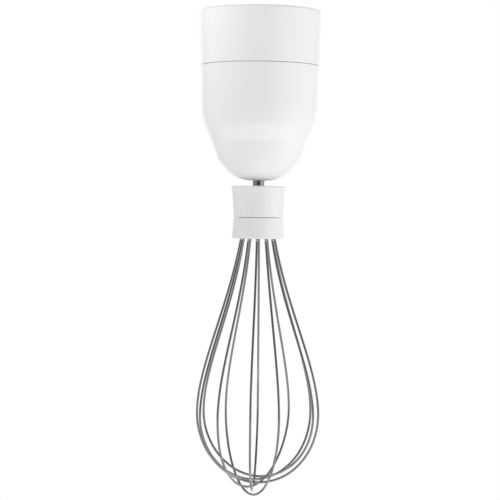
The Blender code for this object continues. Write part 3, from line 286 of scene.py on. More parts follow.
# Gearbox cover and screws
COVER_EDGE_ROUNDING = 0.0005
COVER_BOSS_HEIGHT = 0.002
COVER_BOSS_WALL = 0.0018
COVER_BOSS_ROUNDING = 0.0004
COVER_BOSS_FILLET = 0.0008
SCREW_COUNT = 3
SCREW_PHASE = math.radians(30)
SCREW_BOSS_RADIUS = 0.0019
SCREW_SHANK_RADIUS = 0.0008
SCREW_SHANK_LENGTH = 0.009
SCREW_POINT_LENGTH = 0.0004
SCREW_HEAD_RADIUS = 0.0018
SCREW_HEAD_HEIGHT = 0.0012
SCREW_HEAD_LIFT = 0.00015
SCREW_HEAD_CROWN = 0.0006
SCREW_CROWN_STEPS = 8
SCREW_CROSS_LENGTH = 0.0022
SCREW_CROSS_WIDTH = 0.00045
SCREW_CROSS_DEPTH = 0.0007
SCREW_THREAD_PITCH = 0.0008
SCREW_THREAD_DEPTH = 0.00018

# Drive coupling, input shaft and bush
INPUT_RADIUS = 0.0018
INPUT_ROUNDING = 0.0003
COUPLING_RADIUS = 0.007
COUPLING_ROUNDING = 0.0008
COUPLING_CUP_DEPTH = 0.0085
COUPLING_LOBES = 6
COUPLING_CUP_RADIUS = 0.0045
COUPLING_LOBE_HEIGHT = 0.0009
COUPLING_CUP_STEPS = 144
BUSH_WALL = 0.002
BUSH_FLANGE = 0.0008
BUSH_FLANGE_LIP = 0.0011
BUSH_FLANGE_ROUNDING = 0.0002

# Whisk shaft, its grip ring and the seal that it passes through
SHAFT_RADIUS = 0.003
SHAFT_BEVEL = 0.0004
SHAFT_HEX_ACROSS_FLATS = 0.005
SHAFT_HEX_LENGTH = 0.0107
SHAFT_HEX_SIDES = 6
GRIP_GROOVE_BELOW_HEX = 0.009
GRIP_GROOVE_DEPTH = 0.001
GRIP_RING_SECTION = 0.0005
GRIP_RING_STEPS = 20
SEAL_LIP_GAP = 0.00035
SEAL_LIP_THICKNESS = 0.0009

# Whisk hub
HUB_LIP_RADIUS = 0.0141
HUB_NECK_RADIUS = 0.0133
HUB_NECK_DROP = 0.0036
HUB_NECK_ROUNDING = 0.006
HUB_WAIST_RADIUS = 0.0126
HUB_RING_RADIUS = 0.0133
HUB_RING_WALL = 0.0021
HUB_EDGE_ROUNDING = 0.0009
HUB_SEAM_ROUNDING = 0.0004
HUB_SPIGOT_HEIGHT = 0.0012
HUB_RING_LIP_HEIGHT = 0.0012
HUB_RING_LIP_DEPTH = 0.0006
HOLDER_ROUNDING = 0.0005

# Whisk wires: straight legs in the hub, a shoulder curve down to the belly and a quarter of an ellipse from
# there to the tip
WIRE_RADIUS = 0.0006
WIRE_HOLE_GAP = 0.00015
WIRE_SIDES = 20
WIRE_SHOULDER_STEPS = 44
WIRE_BELLY_STEPS = 34
LEG_INSET = 0.00195
LEG_SLOPE = 0.18
BELLY_RADIUS = 0.03095
BELLY_DROP = 0.0888
SHOULDER_PULL = 0.0373
BELLY_PULL = 0.0232
LONGEST_LOOP_DROP = 0.1297
LOOP_PHASE = math.radians(-3.65)
# Each loop's turn in twelfths, how much shorter than the longest it is, its twist in degrees between hub and
# belly, and how far it is bent to the side at the belly and at the tip
LOOPS = (
    (0, 0.0060, -3.5, 0.0007, 0.0010),
    (1, 0.0076, -1.3, 0.0, 0.0005),
    (-1, 0.0092, 7.1, 0.0008, 0.0010),
    (-2, 0.0, -0.6, -0.0022, -0.0022),
    (-3, 0.0022, 0.0, -0.0009, -0.0013),
    (-4, 0.0040, -2.1, -0.0009, -0.0023),
)

# Heights read from the frame or worked out from it
SEAM_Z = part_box("collar")[0].z
SHELL_TOP_Z = SEAM_Z - SEAM_GAP
SHELL_BOTTOM_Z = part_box("lower_shell")[0].z
SPIGOT_TOP_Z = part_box("lower_shell")[1].z
BARREL_END_Z = SEAM_Z - SEAT_GAP - BARREL_HEIGHT
BAND_END_Z = BARREL_END_Z - BAND_HEIGHT
CONE_END_Z = BAND_END_Z - CONE_HEIGHT
RING_BOTTOM_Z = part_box("ring_gear")[0].z
COVER_BOTTOM_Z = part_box("gearbox_cover")[0].z
COVER_TOP_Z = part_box("gearbox_cover")[1].z - COVER_BOSS_HEIGHT
COUPLING_BOTTOM_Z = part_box("drive_coupling")[0].z
COUPLING_TOP_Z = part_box("drive_coupling")[1].z
INPUT_SHAFT_Z = [corner.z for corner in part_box("input_shaft")]
BUSH_TOP_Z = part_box("input_bush")[1].z
BOSS_TOP_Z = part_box("upper_output_bush")[1].z - BUSH_FLANGE - SEAT_GAP
SEAL_BOTTOM_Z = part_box("shaft_seal")[0].z
SEAL_TOP_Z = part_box("shaft_seal")[1].z
SEAL_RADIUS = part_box("shaft_seal")[1].x
SHAFT_TOP_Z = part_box("whisk_shaft")[1].z
SHAFT_BOTTOM_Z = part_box("whisk_shaft")[0].z
SHAFT_HEX_END_Z = SHAFT_TOP_Z - SHAFT_HEX_LENGTH
GRIP_GROOVE_Z = SHAFT_HEX_END_Z - GRIP_GROOVE_BELOW_HEX
HUB_TOP_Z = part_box("hub_sleeve")[1].z
HUB_SEAM_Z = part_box("hub_sleeve")[0].z + HUB_SPIGOT_HEIGHT
HUB_RING_TOP_Z = HUB_SEAM_Z - SEAM_GAP
HUB_BOTTOM_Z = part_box("hub_ring")[0].z
HOLDER_TOP_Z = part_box("wire_holder")[1].z
HOLDER_BOTTOM_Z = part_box("wire_holder")[0].z
BELLY_Z = HUB_BOTTOM_Z - BELLY_DROP

# Radii and one height worked out from the sizes above
SEAM_RADIUS = RIM_RADIUS - COLLAR_TAPER
BARREL_END_RADIUS = SEAM_RADIUS - BARREL_TAPER
BAND_END_RADIUS = BARREL_END_RADIUS - BAND_TAPER
CONE_END_RADIUS = BAND_END_RADIUS - CONE_TAPER
COLLAR_INNER_RADIUS = SEAM_RADIUS - WALL
SPIGOT_RADIUS = COLLAR_INNER_RADIUS - SEAT_GAP
SPIGOT_INNER_RADIUS = SPIGOT_RADIUS - SPIGOT_WALL
GROOVE_RADIUS = SPIGOT_RADIUS - SNAP_BEAD_HEIGHT
SCREW_CIRCLE = GROOVE_RADIUS - SEAT_GAP - SCREW_BOSS_RADIUS
SCREW_HOLE_RADIUS = SCREW_SHANK_RADIUS + SEAT_GAP
SHAFT_HOLE_RADIUS = SHAFT_RADIUS + SHAFT_HOLE_GAP
BOSS_RADIUS = BOSS_BORE + BOSS_WALL
INPUT_BORE = INPUT_RADIUS + RUNNING_GAP
INPUT_BUSH_RADIUS = INPUT_BORE + BUSH_WALL
COUPLING_FLOOR_Z = COUPLING_TOP_Z - COUPLING_CUP_DEPTH
HUB_BORE = SHAFT_RADIUS + SEAT_GAP
HUB_RING_INNER_RADIUS = HUB_WAIST_RADIUS - HUB_RING_WALL
HOLDER_RADIUS = HUB_RING_INNER_RADIUS - SEAT_GAP
LEG_CIRCLE_RADIUS = HUB_RING_INNER_RADIUS - LEG_INSET


def add_node(tree, kind, inputs=None, **settings):
    """A shader node with its settings, and its inputs as values or as links from other sockets."""
    node = tree.nodes.new(kind)
    for name, value in settings.items():
        setattr(node, name, value)
    for name, value in (inputs or {}).items():
        if isinstance(value, bpy.types.NodeSocket):
            tree.links.new(value, node.inputs[name])
        else:
            node.inputs[name].default_value = value
    return node


def new_finish(name, colour, roughness, metallic=0.0, **sockets):
    """A material whose even values are set on the shader's own sockets."""
    material = bpy.data.materials.new(name)
    material.use_nodes = True
    material.diffuse_color = (*colour, 1.0)
    tree = material.node_tree
    shader = tree.nodes["Principled BSDF"]
    shader.inputs["Base Color"].default_value = (*colour, 1.0)
    shader.inputs["Roughness"].default_value = roughness
    shader.inputs["Metallic"].default_value = metallic
    for socket, value in sockets.items():
        shader.inputs[socket.replace("_", " ")].default_value = value
    return material, tree, shader


def noise(tree, cells, detail=2.0, roughness=0.5, stretch=(1.0, 1.0, 1.0), uv_map=None):
    """Uneven patches on the piece, by its own axes or by one of its maps."""
    if uv_map:
        place = add_node(tree, "ShaderNodeUVMap", uv_map=uv_map).outputs["UV"]
    else:
        place = add_node(tree, "ShaderNodeTexCoord").outputs["Object"]
    place = add_node(tree, "ShaderNodeMapping", {"Vector": place, "Scale": stretch}).outputs[0]
    inputs = {"Vector": place, "Scale": cells, "Detail": detail, "Roughness": roughness}
    return add_node(tree, "ShaderNodeTexNoise", inputs).outputs["Fac"]


def spread(tree, value, low, high):
    """Maps a noise's value to a range."""
    inputs = {"Value": value, "From Min": NOISE_LOW, "From Max": NOISE_HIGH, "To Min": low, "To Max": high}
    return add_node(tree, "ShaderNodeMapRange", inputs).outputs["Result"]


def tint(tree, value, dark, light):
    """A colour between two, by a value from 0 to 1."""
    first, second = MIX_COLOURS
    inputs = {MIX_FACTOR: value, first: (*dark, 1.0), second: (*light, 1.0)}
    return add_node(tree, "ShaderNodeMix", inputs, data_type="RGBA").outputs[MIX_COLOUR_RESULT]


def bump(tree, height, depth, under=None):
    """Relief of a real depth in metres, on top of the relief under it."""
    inputs = {"Height": height, "Distance": depth}
    if under is not None:
        inputs["Normal"] = under
    return add_node(tree, "ShaderNodeBump", inputs).outputs["Normal"]


def varied_finish(name, look, colours, gloss, reliefs):
    """A material whose colour, gloss and relief go by noises."""
    material, tree, shader = new_finish(name, **look)
    pattern, dark, light = colours
    tree.links.new(tint(tree, noise(tree, *pattern), dark, light), shader.inputs["Base Color"])
    pattern, low, high = gloss
    tree.links.new(spread(tree, noise(tree, *pattern), low, high), shader.inputs["Roughness"])
    normal = None
    for pattern, depth in reliefs:
        normal = bump(tree, noise(tree, *pattern), depth, normal)
    tree.links.new(normal, shader.inputs["Normal"])
    return material


def soften(corners):
    """Turns (radius, height, rounding) corners into an outline with an arc at each rounded corner.

    An arc that is too large for the sides it joins is made smaller.
    """
    outline = []
    for index, (r, z, rounding) in enumerate(corners):
        if not rounding:
            outline.append((r, z))
            continue
        r_before, z_before, _ = corners[index - 1]
        r_after, z_after, _ = corners[index + 1]
        way_in = math.atan2(z - z_before, r - r_before)
        way_out = math.atan2(z_after - z, r_after - r)
        turn = math.remainder(way_out - way_in, 2 * math.pi)
        side_before = math.hypot(r - r_before, z - z_before)
        side_after = math.hypot(r_after - r, z_after - z)
        widest = FILLET_SHARE * min(side_before, side_after)
        reach = min(rounding * math.tan(abs(turn) / 2), widest)
        rounding = reach / math.tan(abs(turn) / 2)
        side = math.copysign(math.pi / 2, turn)
        centre_r = r - reach * math.cos(way_in) + rounding * math.cos(way_in + side)
        centre_z = z - reach * math.sin(way_in) + rounding * math.sin(way_in + side)
        facet = 2 * math.acos(1 - CHORD_ERROR / rounding)
        steps = max(1, math.ceil(abs(turn) / facet))
        for step in range(steps + 1):
            angle = way_in - side + turn * step / steps
            spot = (centre_r + rounding * math.cos(angle), centre_z + rounding * math.sin(angle))
            outline.append(spot)
    return outline


def inset(corners, distance):
    """Moves an outline that runs down the outer side inwards, keeping its arcs concentric."""
    lines = []
    for (r0, z0, _), (r1, z1, _) in zip(corners, corners[1:]):
        length = math.hypot(r1 - r0, z1 - z0)
        along = ((r1 - r0) / length, (z1 - z0) / length)
        start = (r0 + along[1] * distance, z0 - along[0] * distance)
        lines.append((start, along))
    moved = [(lines[0][0][0], lines[0][0][1], 0)]
    for (start, along), (other, way), (_, _, rounding) in zip(lines, lines[1:], corners[1:]):
        cross = along[0] * way[1] - along[1] * way[0]
        reach = ((other[0] - start[0]) * way[1] - (other[1] - start[1]) * way[0]) / cross
        corner = (start[0] + along[0] * reach, start[1] + along[1] * reach)
        moved.append((*corner, max(rounding - distance, 0)))
    r_end, z_end, _ = corners[-1]
    way = lines[-1][1]
    moved.append((r_end + way[1] * distance, z_end - way[0] * distance, 0))
    return moved


def cross_at(outline, value, axis):
    """The point where an outline crosses a radius or a height, by the axis."""
    for start, end in zip(outline, outline[1:]):
        low, high = sorted((start[axis], end[axis]))
        if low <= value <= high and low < high:
            share = (value - start[axis]) / (end[axis] - start[axis])
            return tuple(a + (b - a) * share for a, b in zip(start, end))
    raise ValueError(f"the outline doesn't cross {value}")


def divided(outline):
    """Splits the long sides of a closed outline, so that smooth shading stays true along them."""
    points = []
    for start, end in zip(outline, outline[1:] + outline[:1]):
        points.append(start)
        if start[0] == 0 and end[0] == 0:
            continue
        pieces = math.ceil(math.dist(start, end) / LONGEST_FACET)
        for piece in range(1, pieces):
            points.append(tuple(a + (b - a) * piece / pieces for a, b in zip(start, end)))
    return points


def made_mesh(name, solid):
    """Turns a bmesh into a mesh with its faces looking outwards, and frees it."""
    bmesh.ops.recalc_face_normals(solid, faces=solid.faces)
    mesh = bpy.data.meshes.new(name)
    solid.to_mesh(mesh)
    solid.free()
    return mesh


def add_object(name, data):
    """Puts new data into the scene."""
    thing = bpy.data.objects.new(name, data)
    bpy.context.scene.collection.objects.link(thing)
    return thing


def around(count, phase=0.0):
    """The angles of a pattern on a circle."""
    return [phase + 2 * math.pi * index / count for index in range(count)]


def arc(radius, angles):
    """Points at the same distance from the axis."""
    return [(radius * math.cos(angle), radius * math.sin(angle)) for angle in angles]


def rectangle(half_x, half_y):
    """The corners of a rectangle round the axis."""
    return [(-half_x, -half_y), (half_x, -half_y), (half_x, half_y), (-half_x, half_y)]


def turned_mesh(name, outline, steps):
    """Revolves a closed (radius, height) outline about Z. It runs down the outer side."""
    solid = bmesh.new()
    outline = divided(outline)
    rings = []
    for r, z in outline:
        if r == 0:
            rings.append([solid.verts.new((0, 0, z))] * steps)
            continue
        rings.append([solid.verts.new((x, y, z)) for x, y in arc(r, around(steps))])
    for ring, below in zip(rings, rings[1:] + rings[:1]):
        for step in range(steps):
            following = (step + 1) % steps
            corners = list(dict.fromkeys((ring[step], below[step], below[following], ring[following])))
            if len(corners) > 2:
                solid.faces.new(corners)
    return made_mesh(name, solid)


def extrude(solid, corners, vector):
    """Closes a flat outline, draws it out along a vector and returns the corners of both ends."""
    grown = bmesh.ops.extrude_face_region(solid, geom=[solid.faces.new(corners)])["geom"]
    far = [item for item in grown if isinstance(item, bmesh.types.BMVert)]
    bmesh.ops.translate(solid, verts=far, vec=vector)
    return corners + far


def prism_mesh(name, outline, top, bottom):
    """A closed prism of a flat (x, y) outline."""
    solid = bmesh.new()
    corners = [solid.verts.new((x, y, bottom)) for x, y in outline]
    extrude(solid, corners, (0, 0, top - bottom))
    return made_mesh(name, solid)


def rods_mesh(name, radius, length, places):
    """Several round rods in one mesh. Each place is a matrix for the rod's middle."""
    solid = bmesh.new()
    sizes = {"segments": SMALL_STEPS, "radius1": radius, "radius2": radius, "depth": length}
    for place in places:
        bmesh.ops.create_cone(solid, cap_ends=True, matrix=place, **sizes)
    return made_mesh(name, solid)


def plates_mesh(name, outline, thickness, angles):
    """Upright radial plates of one (radius, height) outline."""
    solid = bmesh.new()
    for angle in angles:
        corners = [solid.verts.new((r, -thickness / 2, z)) for r, z in outline]
        corners = extrude(solid, corners, (0, thickness, 0))
        bmesh.ops.rotate(solid, verts=corners, matrix=Matrix.Rotation(angle, 3, "Z"))
    return made_mesh(name, solid)


def upright(radius, angle, middle):
    """The place of an upright rod on a circle."""
    return Matrix.Rotation(angle, 4, "Z") @ Matrix.Translation((radius, 0, middle))


def combine(mesh, cutters, operation="DIFFERENCE"):
    """Applies Booleans with closed meshes to a mesh, and removes the tools."""
    body = add_object(mesh.name + "_work", mesh)
    tools = [add_object(cutter.name, cutter) for cutter in cutters]
    for tool in tools:
        modifier = body.modifiers.new(tool.name, "BOOLEAN")
        modifier.operation = operation
        modifier.solver = "EXACT"
        modifier.object = tool
    bpy.context.view_layer.update()
    made = bpy.data.meshes.new_from_object(body.evaluated_get(bpy.context.evaluated_depsgraph_get()))
    made.name = mesh.name
    for spent in (body, *tools):
        bpy.data.objects.remove(spent, do_unlink=True)
    return made


def add_piece(name, mesh, body, slot, *nodes):
    """Shows a mesh in place of its CAD nodes, riding on their body, in its slot's finish.

    Its faces are smooth with the sharp edges kept, and its normals follow the larger faces.
    """
    mesh.shade_smooth()
    mesh.set_sharp_from_angle(angle=SHARP_ANGLE)
    mesh.materials.clear()
    mesh.materials.append(FINISHES[slot])
    piece = add_object(name, mesh)
    even = piece.modifiers.new("even_normals", "WEIGHTED_NORMAL")
    even.keep_sharp = True
    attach(piece, body)
    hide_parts(*nodes)


def add_turned(node, outline, steps, body, slot):
    """Shows a turned outline in place of one CAD node."""
    name = f"{node}_skin"
    add_piece(name, turned_mesh(name, outline, steps), body, slot, node)


def make_collar():
    """The socket collar, with a softly broken lower edge, the snap bead and the bayonet lugs."""
    inner_rim = RIM_RADIUS - WALL
    slope = (inner_rim - COLLAR_INNER_RADIUS) / -SEAM_Z
    bead_z = SEAM_Z + SNAP_BEAD_ABOVE_SEAM
    bead_half = SNAP_BEAD_WIDTH / 2
    bead_foot = bead_half + SNAP_BEAD_HEIGHT
    bead_inner = COLLAR_INNER_RADIUS - SNAP_BEAD_HEIGHT
    outline = soften(
        [
            (inner_rim, 0, RIM_INNER_ROUNDING),
            (RIM_RADIUS, 0, RIM_ROUNDING),
            (SEAM_RADIUS, SEAM_Z, EDGE_BREAK),
            (COLLAR_INNER_RADIUS, SEAM_Z, 0),
            (COLLAR_INNER_RADIUS + slope * (SNAP_BEAD_ABOVE_SEAM - bead_foot), bead_z - bead_foot, 0),
            (bead_inner, bead_z - bead_half, 0),
            (bead_inner, bead_z + bead_half, 0),
            (COLLAR_INNER_RADIUS + slope * (SNAP_BEAD_ABOVE_SEAM + bead_foot), bead_z + bead_foot, 0),
        ]
    )
    collar = turned_mesh("collar_skin", outline, ROUND_STEPS)
    top = -LUG_BELOW_RIM
    lug_inner = inner_rim - LUG_DEPTH
    lug_outer = inner_rim + WALL / 2
    lugs = []
    for number, middle in enumerate(around(LUG_COUNT, LUG_PHASE), start=1):
        start = middle - LUG_ANGLE / 2
        angles = [start + LUG_ANGLE * step / LUG_STEPS for step in range(LUG_STEPS + 1)]
        section = arc(lug_outer, angles) + arc(lug_inner, reversed(angles))
        lugs.append(prism_mesh(f"lug_{number}", section, top, top - LUG_HEIGHT))
    add_piece("collar_skin", combine(collar, lugs, "UNION"), "housing", "housing_white", "collar")


def shell_corners():
    """The lower shell's outer side, from the seam down to the shaft hole."""
    return [
        (SEAM_RADIUS, SHELL_TOP_Z, 0),
        (BARREL_END_RADIUS, BARREL_END_Z, BARREL_ROUNDING),
        (BAND_END_RADIUS, BAND_END_Z, BAND_CREASE),
        (CONE_END_RADIUS, CONE_END_Z, CONE_ROUNDING),
        (BOTTOM_EDGE_RADIUS, SHELL_BOTTOM_Z, BOTTOM_ROUNDING),
        (SHAFT_HOLE_RADIUS, SHELL_BOTTOM_Z, 0),
    ]


def shell_outline():
    """Section of the lower shell: spigot, outer side, bearing boss and inner wall."""
    corners = shell_corners()
    wall = soften(inset(corners, WALL))
    wall_top = SHELL_TOP_Z - SPIGOT_ROOT - SPIGOT_WALL
    wall_start = cross_at(wall, wall_top, HEIGHT)
    boss_foot = cross_at(wall, BOSS_RADIUS, RADIUS)
    wall_up = [point for point in reversed(wall) if boss_foot[0] < point[0] and point[1] < wall_top]
    groove_z = SEAM_Z + SNAP_BEAD_ABOVE_SEAM
    groove_half = SNAP_BEAD_WIDTH / 2 + SEAT_GAP
    groove_foot = groove_half + SNAP_BEAD_HEIGHT
    floor_z = SHELL_BOTTOM_Z + FLOOR_THICKNESS
    spigot = [
        (SPIGOT_INNER_RADIUS, SPIGOT_TOP_Z),
        (SPIGOT_RADIUS, SPIGOT_TOP_Z),
        (SPIGOT_RADIUS, groove_z + groove_foot),
        (GROOVE_RADIUS, groove_z + groove_half),
        (GROOVE_RADIUS, groove_z - groove_half),
        (SPIGOT_RADIUS, groove_z - groove_foot),
    ]
    boss = [
        (SHAFT_HOLE_RADIUS, floor_z),
        (BOSS_BORE, floor_z),
        (BOSS_BORE, BOSS_TOP_Z),
        (BOSS_RADIUS, BOSS_TOP_Z),
        (BOSS_RADIUS, boss_foot[1]),
    ]
    root = [wall_start, (SPIGOT_INNER_RADIUS, SHELL_TOP_Z - SPIGOT_ROOT)]
    edge = [(SPIGOT_RADIUS, SHELL_TOP_Z, 0), (SEAM_RADIUS, SHELL_TOP_Z, EDGE_BREAK), *corners[1:]]
    return spigot + soften(edge) + boss + wall_up + root


def make_lower_shell():
    """The lower shell with what it holds inside: ribs, bearing boss, screw bosses and their holes."""
    shell = turned_mesh("lower_shell_skin", shell_outline(), ROUND_STEPS)
    middle = soften(inset(shell_corners(), WALL / 2))
    ledge_z = RING_BOTTOM_Z - SEAT_GAP
    rib_outer = cross_at(middle, ledge_z - RING_LEDGE_HEIGHT, HEIGHT)[RADIUS]
    rib_top = SHELL_TOP_Z - SPIGOT_ROOT - SEAT_GAP
    ledge_inner = SPIGOT_INNER_RADIUS - RING_LEDGE_DEPTH
    ring_rib = [
        (SPIGOT_INNER_RADIUS, rib_top),
        (rib_outer, rib_top),
        (rib_outer, ledge_z - RING_LEDGE_HEIGHT),
        (ledge_inner, ledge_z - RING_LEDGE_DEPTH),
        (ledge_inner, ledge_z),
        (SPIGOT_INNER_RADIUS, ledge_z),
    ]
    rib_angles = around(RING_RIB_COUNT, SCREW_PHASE + math.pi / RING_RIB_COUNT)
    web_inner = SCREW_CIRCLE + SCREW_HOLE_RADIUS + SEAT_GAP
    web_bottom = ledge_z - RING_LEDGE_DEPTH - SEAT_GAP
    web = [(web_inner, rib_top), (rib_outer, rib_top), (rib_outer, web_bottom), (web_inner, web_bottom)]
    screw_angles = around(SCREW_COUNT, SCREW_PHASE)
    plate_top = BOSS_TOP_Z - BOSS_RIB_DROP
    rib_inner = BOSS_RADIUS - BOSS_WALL / 2
    start = cross_at(middle, plate_top, HEIGHT)
    end = cross_at(middle, rib_inner, RADIUS)
    edge = [point for point in middle if start[1] > point[1] and point[0] > rib_inner]
    boss_rib = [(rib_inner, plate_top), start, *edge, end]
    boss_bottom = ledge_z - RING_LEDGE_DEPTH
    boss_top = SPIGOT_TOP_Z - SEAT_GAP
    places = [upright(SCREW_CIRCLE, angle, (boss_top + boss_bottom) / 2) for angle in screw_angles]
    added = [
        plates_mesh("ring_gear_ribs", ring_rib, RING_RIB_THICKNESS, rib_angles),
        plates_mesh("screw_boss_webs", web, RING_RIB_THICKNESS, screw_angles),
        plates_mesh("boss_ribs", boss_rib, BOSS_RIB_THICKNESS, around(BOSS_RIB_COUNT)),
        rods_mesh("screw_bosses", SCREW_BOSS_RADIUS, boss_top - boss_bottom, places),
    ]
    shell = combine(shell, added, "UNION")
    depth = SCREW_SHANK_LENGTH - (COVER_TOP_Z - COVER_BOTTOM_Z) + SEAT_GAP
    holes = [upright(SCREW_CIRCLE, angle, SPIGOT_TOP_Z) for angle in screw_angles]
    shell = combine(shell, [rods_mesh("screw_holes", SCREW_HOLE_RADIUS, 2 * depth, holes)])
    add_piece("lower_shell_skin", shell, "housing", "housing_white", "lower_shell")


def make_cover():
    """The gearbox cover, with a raised boss round the input bush."""
    bore = INPUT_BUSH_RADIUS + SEAT_GAP
    boss = bore + COVER_BOSS_WALL
    boss_top = COVER_TOP_Z + COVER_BOSS_HEIGHT
    outline = soften(
        [
            (bore, boss_top, 0),
            (boss, boss_top, COVER_BOSS_ROUNDING),
            (boss, COVER_TOP_Z, COVER_BOSS_FILLET),
            (SPIGOT_RADIUS, COVER_TOP_Z, COVER_EDGE_ROUNDING),
            (SPIGOT_RADIUS, COVER_BOTTOM_Z, 0),
            (bore, COVER_BOTTOM_Z, 0),
        ]
    )
    middle = (COVER_TOP_Z + COVER_BOTTOM_Z) / 2
    length = COVER_TOP_Z - COVER_BOTTOM_Z + 2 * CUT_MARGIN
    places = [upright(SCREW_CIRCLE, angle, middle) for angle in around(SCREW_COUNT, SCREW_PHASE)]
    cover = turned_mesh("gearbox_cover_skin", outline, ROUND_STEPS)
    cover = combine(cover, [rods_mesh("cover_holes", SCREW_HOLE_RADIUS, length, places)])
    add_piece("gearbox_cover_skin", cover, "housing", "cover_grey", "gearbox_cover")


def make_screws():
    """The cover's pan-head screws, with a crowned head, a cross recess and a ridged shank."""
    under = COVER_TOP_Z + SCREW_HEAD_LIFT
    top = under + SCREW_HEAD_HEIGHT
    edge_z = top - SCREW_HEAD_CROWN
    crown = [(0, top)]
    for step in range(1, SCREW_CROWN_STEPS + 1):
        angle = math.pi / 2 * step / SCREW_CROWN_STEPS
        crown.append((SCREW_HEAD_RADIUS * math.sin(angle), edge_z + SCREW_HEAD_CROWN * math.cos(angle)))
    ridges = []
    count = int((SCREW_SHANK_LENGTH - SCREW_HEAD_HEIGHT) / SCREW_THREAD_PITCH)
    root = SCREW_SHANK_RADIUS - SCREW_THREAD_DEPTH
    for index in range(count):
        z = under - SCREW_SHANK_LENGTH + (count - index) * SCREW_THREAD_PITCH
        ridges += [(root, z), (SCREW_SHANK_RADIUS, z - SCREW_THREAD_PITCH / 2)]
    outline = crown + [
        (SCREW_HEAD_RADIUS, under),
        (SCREW_SHANK_RADIUS, under),
        *ridges,
        (root, under - SCREW_SHANK_LENGTH),
        (0, under - SCREW_SHANK_LENGTH - SCREW_POINT_LENGTH),
    ]
    bar = rectangle(SCREW_CROSS_LENGTH / 2, SCREW_CROSS_WIDTH / 2)
    for number, angle in enumerate(around(SCREW_COUNT, SCREW_PHASE), start=1):
        screw = turned_mesh(f"cover_screw_skin_{number}", outline, SMALL_STEPS)
        bars = []
        for quarter in (0, 1):
            tool = prism_mesh(f"cross_{quarter}", bar, top + CUT_MARGIN, top - SCREW_CROSS_DEPTH)
            tool.transform(Matrix.Rotation(angle * number + quarter * math.pi / 2, 4, "Z"))
            bars.append(tool)
        screw = combine(screw, bars)
        x, y = arc(SCREW_CIRCLE, [angle])[0]
        screw.transform(Matrix.Translation((x, y, 0)))
        add_piece(f"cover_screw_skin_{number}", screw, "housing", "screw_steel", f"cover_screw_{number}")


def make_input():
    """The drive coupling with its lobed cup, the input shaft and the bush that carries it."""
    outline = soften(
        [
            (INPUT_BORE, COUPLING_TOP_Z, 0),
            (COUPLING_RADIUS, COUPLING_TOP_Z, COUPLING_ROUNDING),
            (COUPLING_RADIUS, COUPLING_BOTTOM_Z, COUPLING_ROUNDING),
            (INPUT_BORE, COUPLING_BOTTOM_Z, 0),
        ]
    )
    lobes = []
    for angle in around(COUPLING_CUP_STEPS):
        rise = COUPLING_LOBE_HEIGHT * (1 + math.cos(COUPLING_LOBES * angle)) / 2
        lobes += arc(COUPLING_CUP_RADIUS + rise, [angle])
    cup = prism_mesh("coupling_cup", lobes, COUPLING_TOP_Z + CUT_MARGIN, COUPLING_FLOOR_Z)
    coupling = combine(turned_mesh("drive_coupling_skin", outline, ROUND_STEPS), [cup])
    add_piece("drive_coupling_skin", coupling, "input", "coupling_black", "drive_coupling")
    shaft_bottom, shaft_top = INPUT_SHAFT_Z
    rod = soften(
        [
            (0, shaft_top, 0),
            (INPUT_RADIUS, shaft_top, INPUT_ROUNDING),
            (INPUT_RADIUS, shaft_bottom, INPUT_ROUNDING),
            (0, shaft_bottom, 0),
        ]
    )
    add_turned("input_shaft", rod, SMALL_STEPS, "input", "inner_steel")
    flange = INPUT_BUSH_RADIUS + BUSH_FLANGE_LIP
    flange_bottom = BUSH_TOP_Z - BUSH_FLANGE
    bush = soften(
        [
            (INPUT_BORE, BUSH_TOP_Z, 0),
            (flange, BUSH_TOP_Z, BUSH_FLANGE_ROUNDING),
            (flange, flange_bottom, 0),
            (INPUT_BUSH_RADIUS, flange_bottom, 0),
            (INPUT_BUSH_RADIUS, COVER_BOTTOM_Z, 0),
            (INPUT_BORE, COVER_BOTTOM_Z, 0),
        ]
    )
    add_turned("input_bush", bush, ROUND_STEPS, "housing", "bush_bronze")


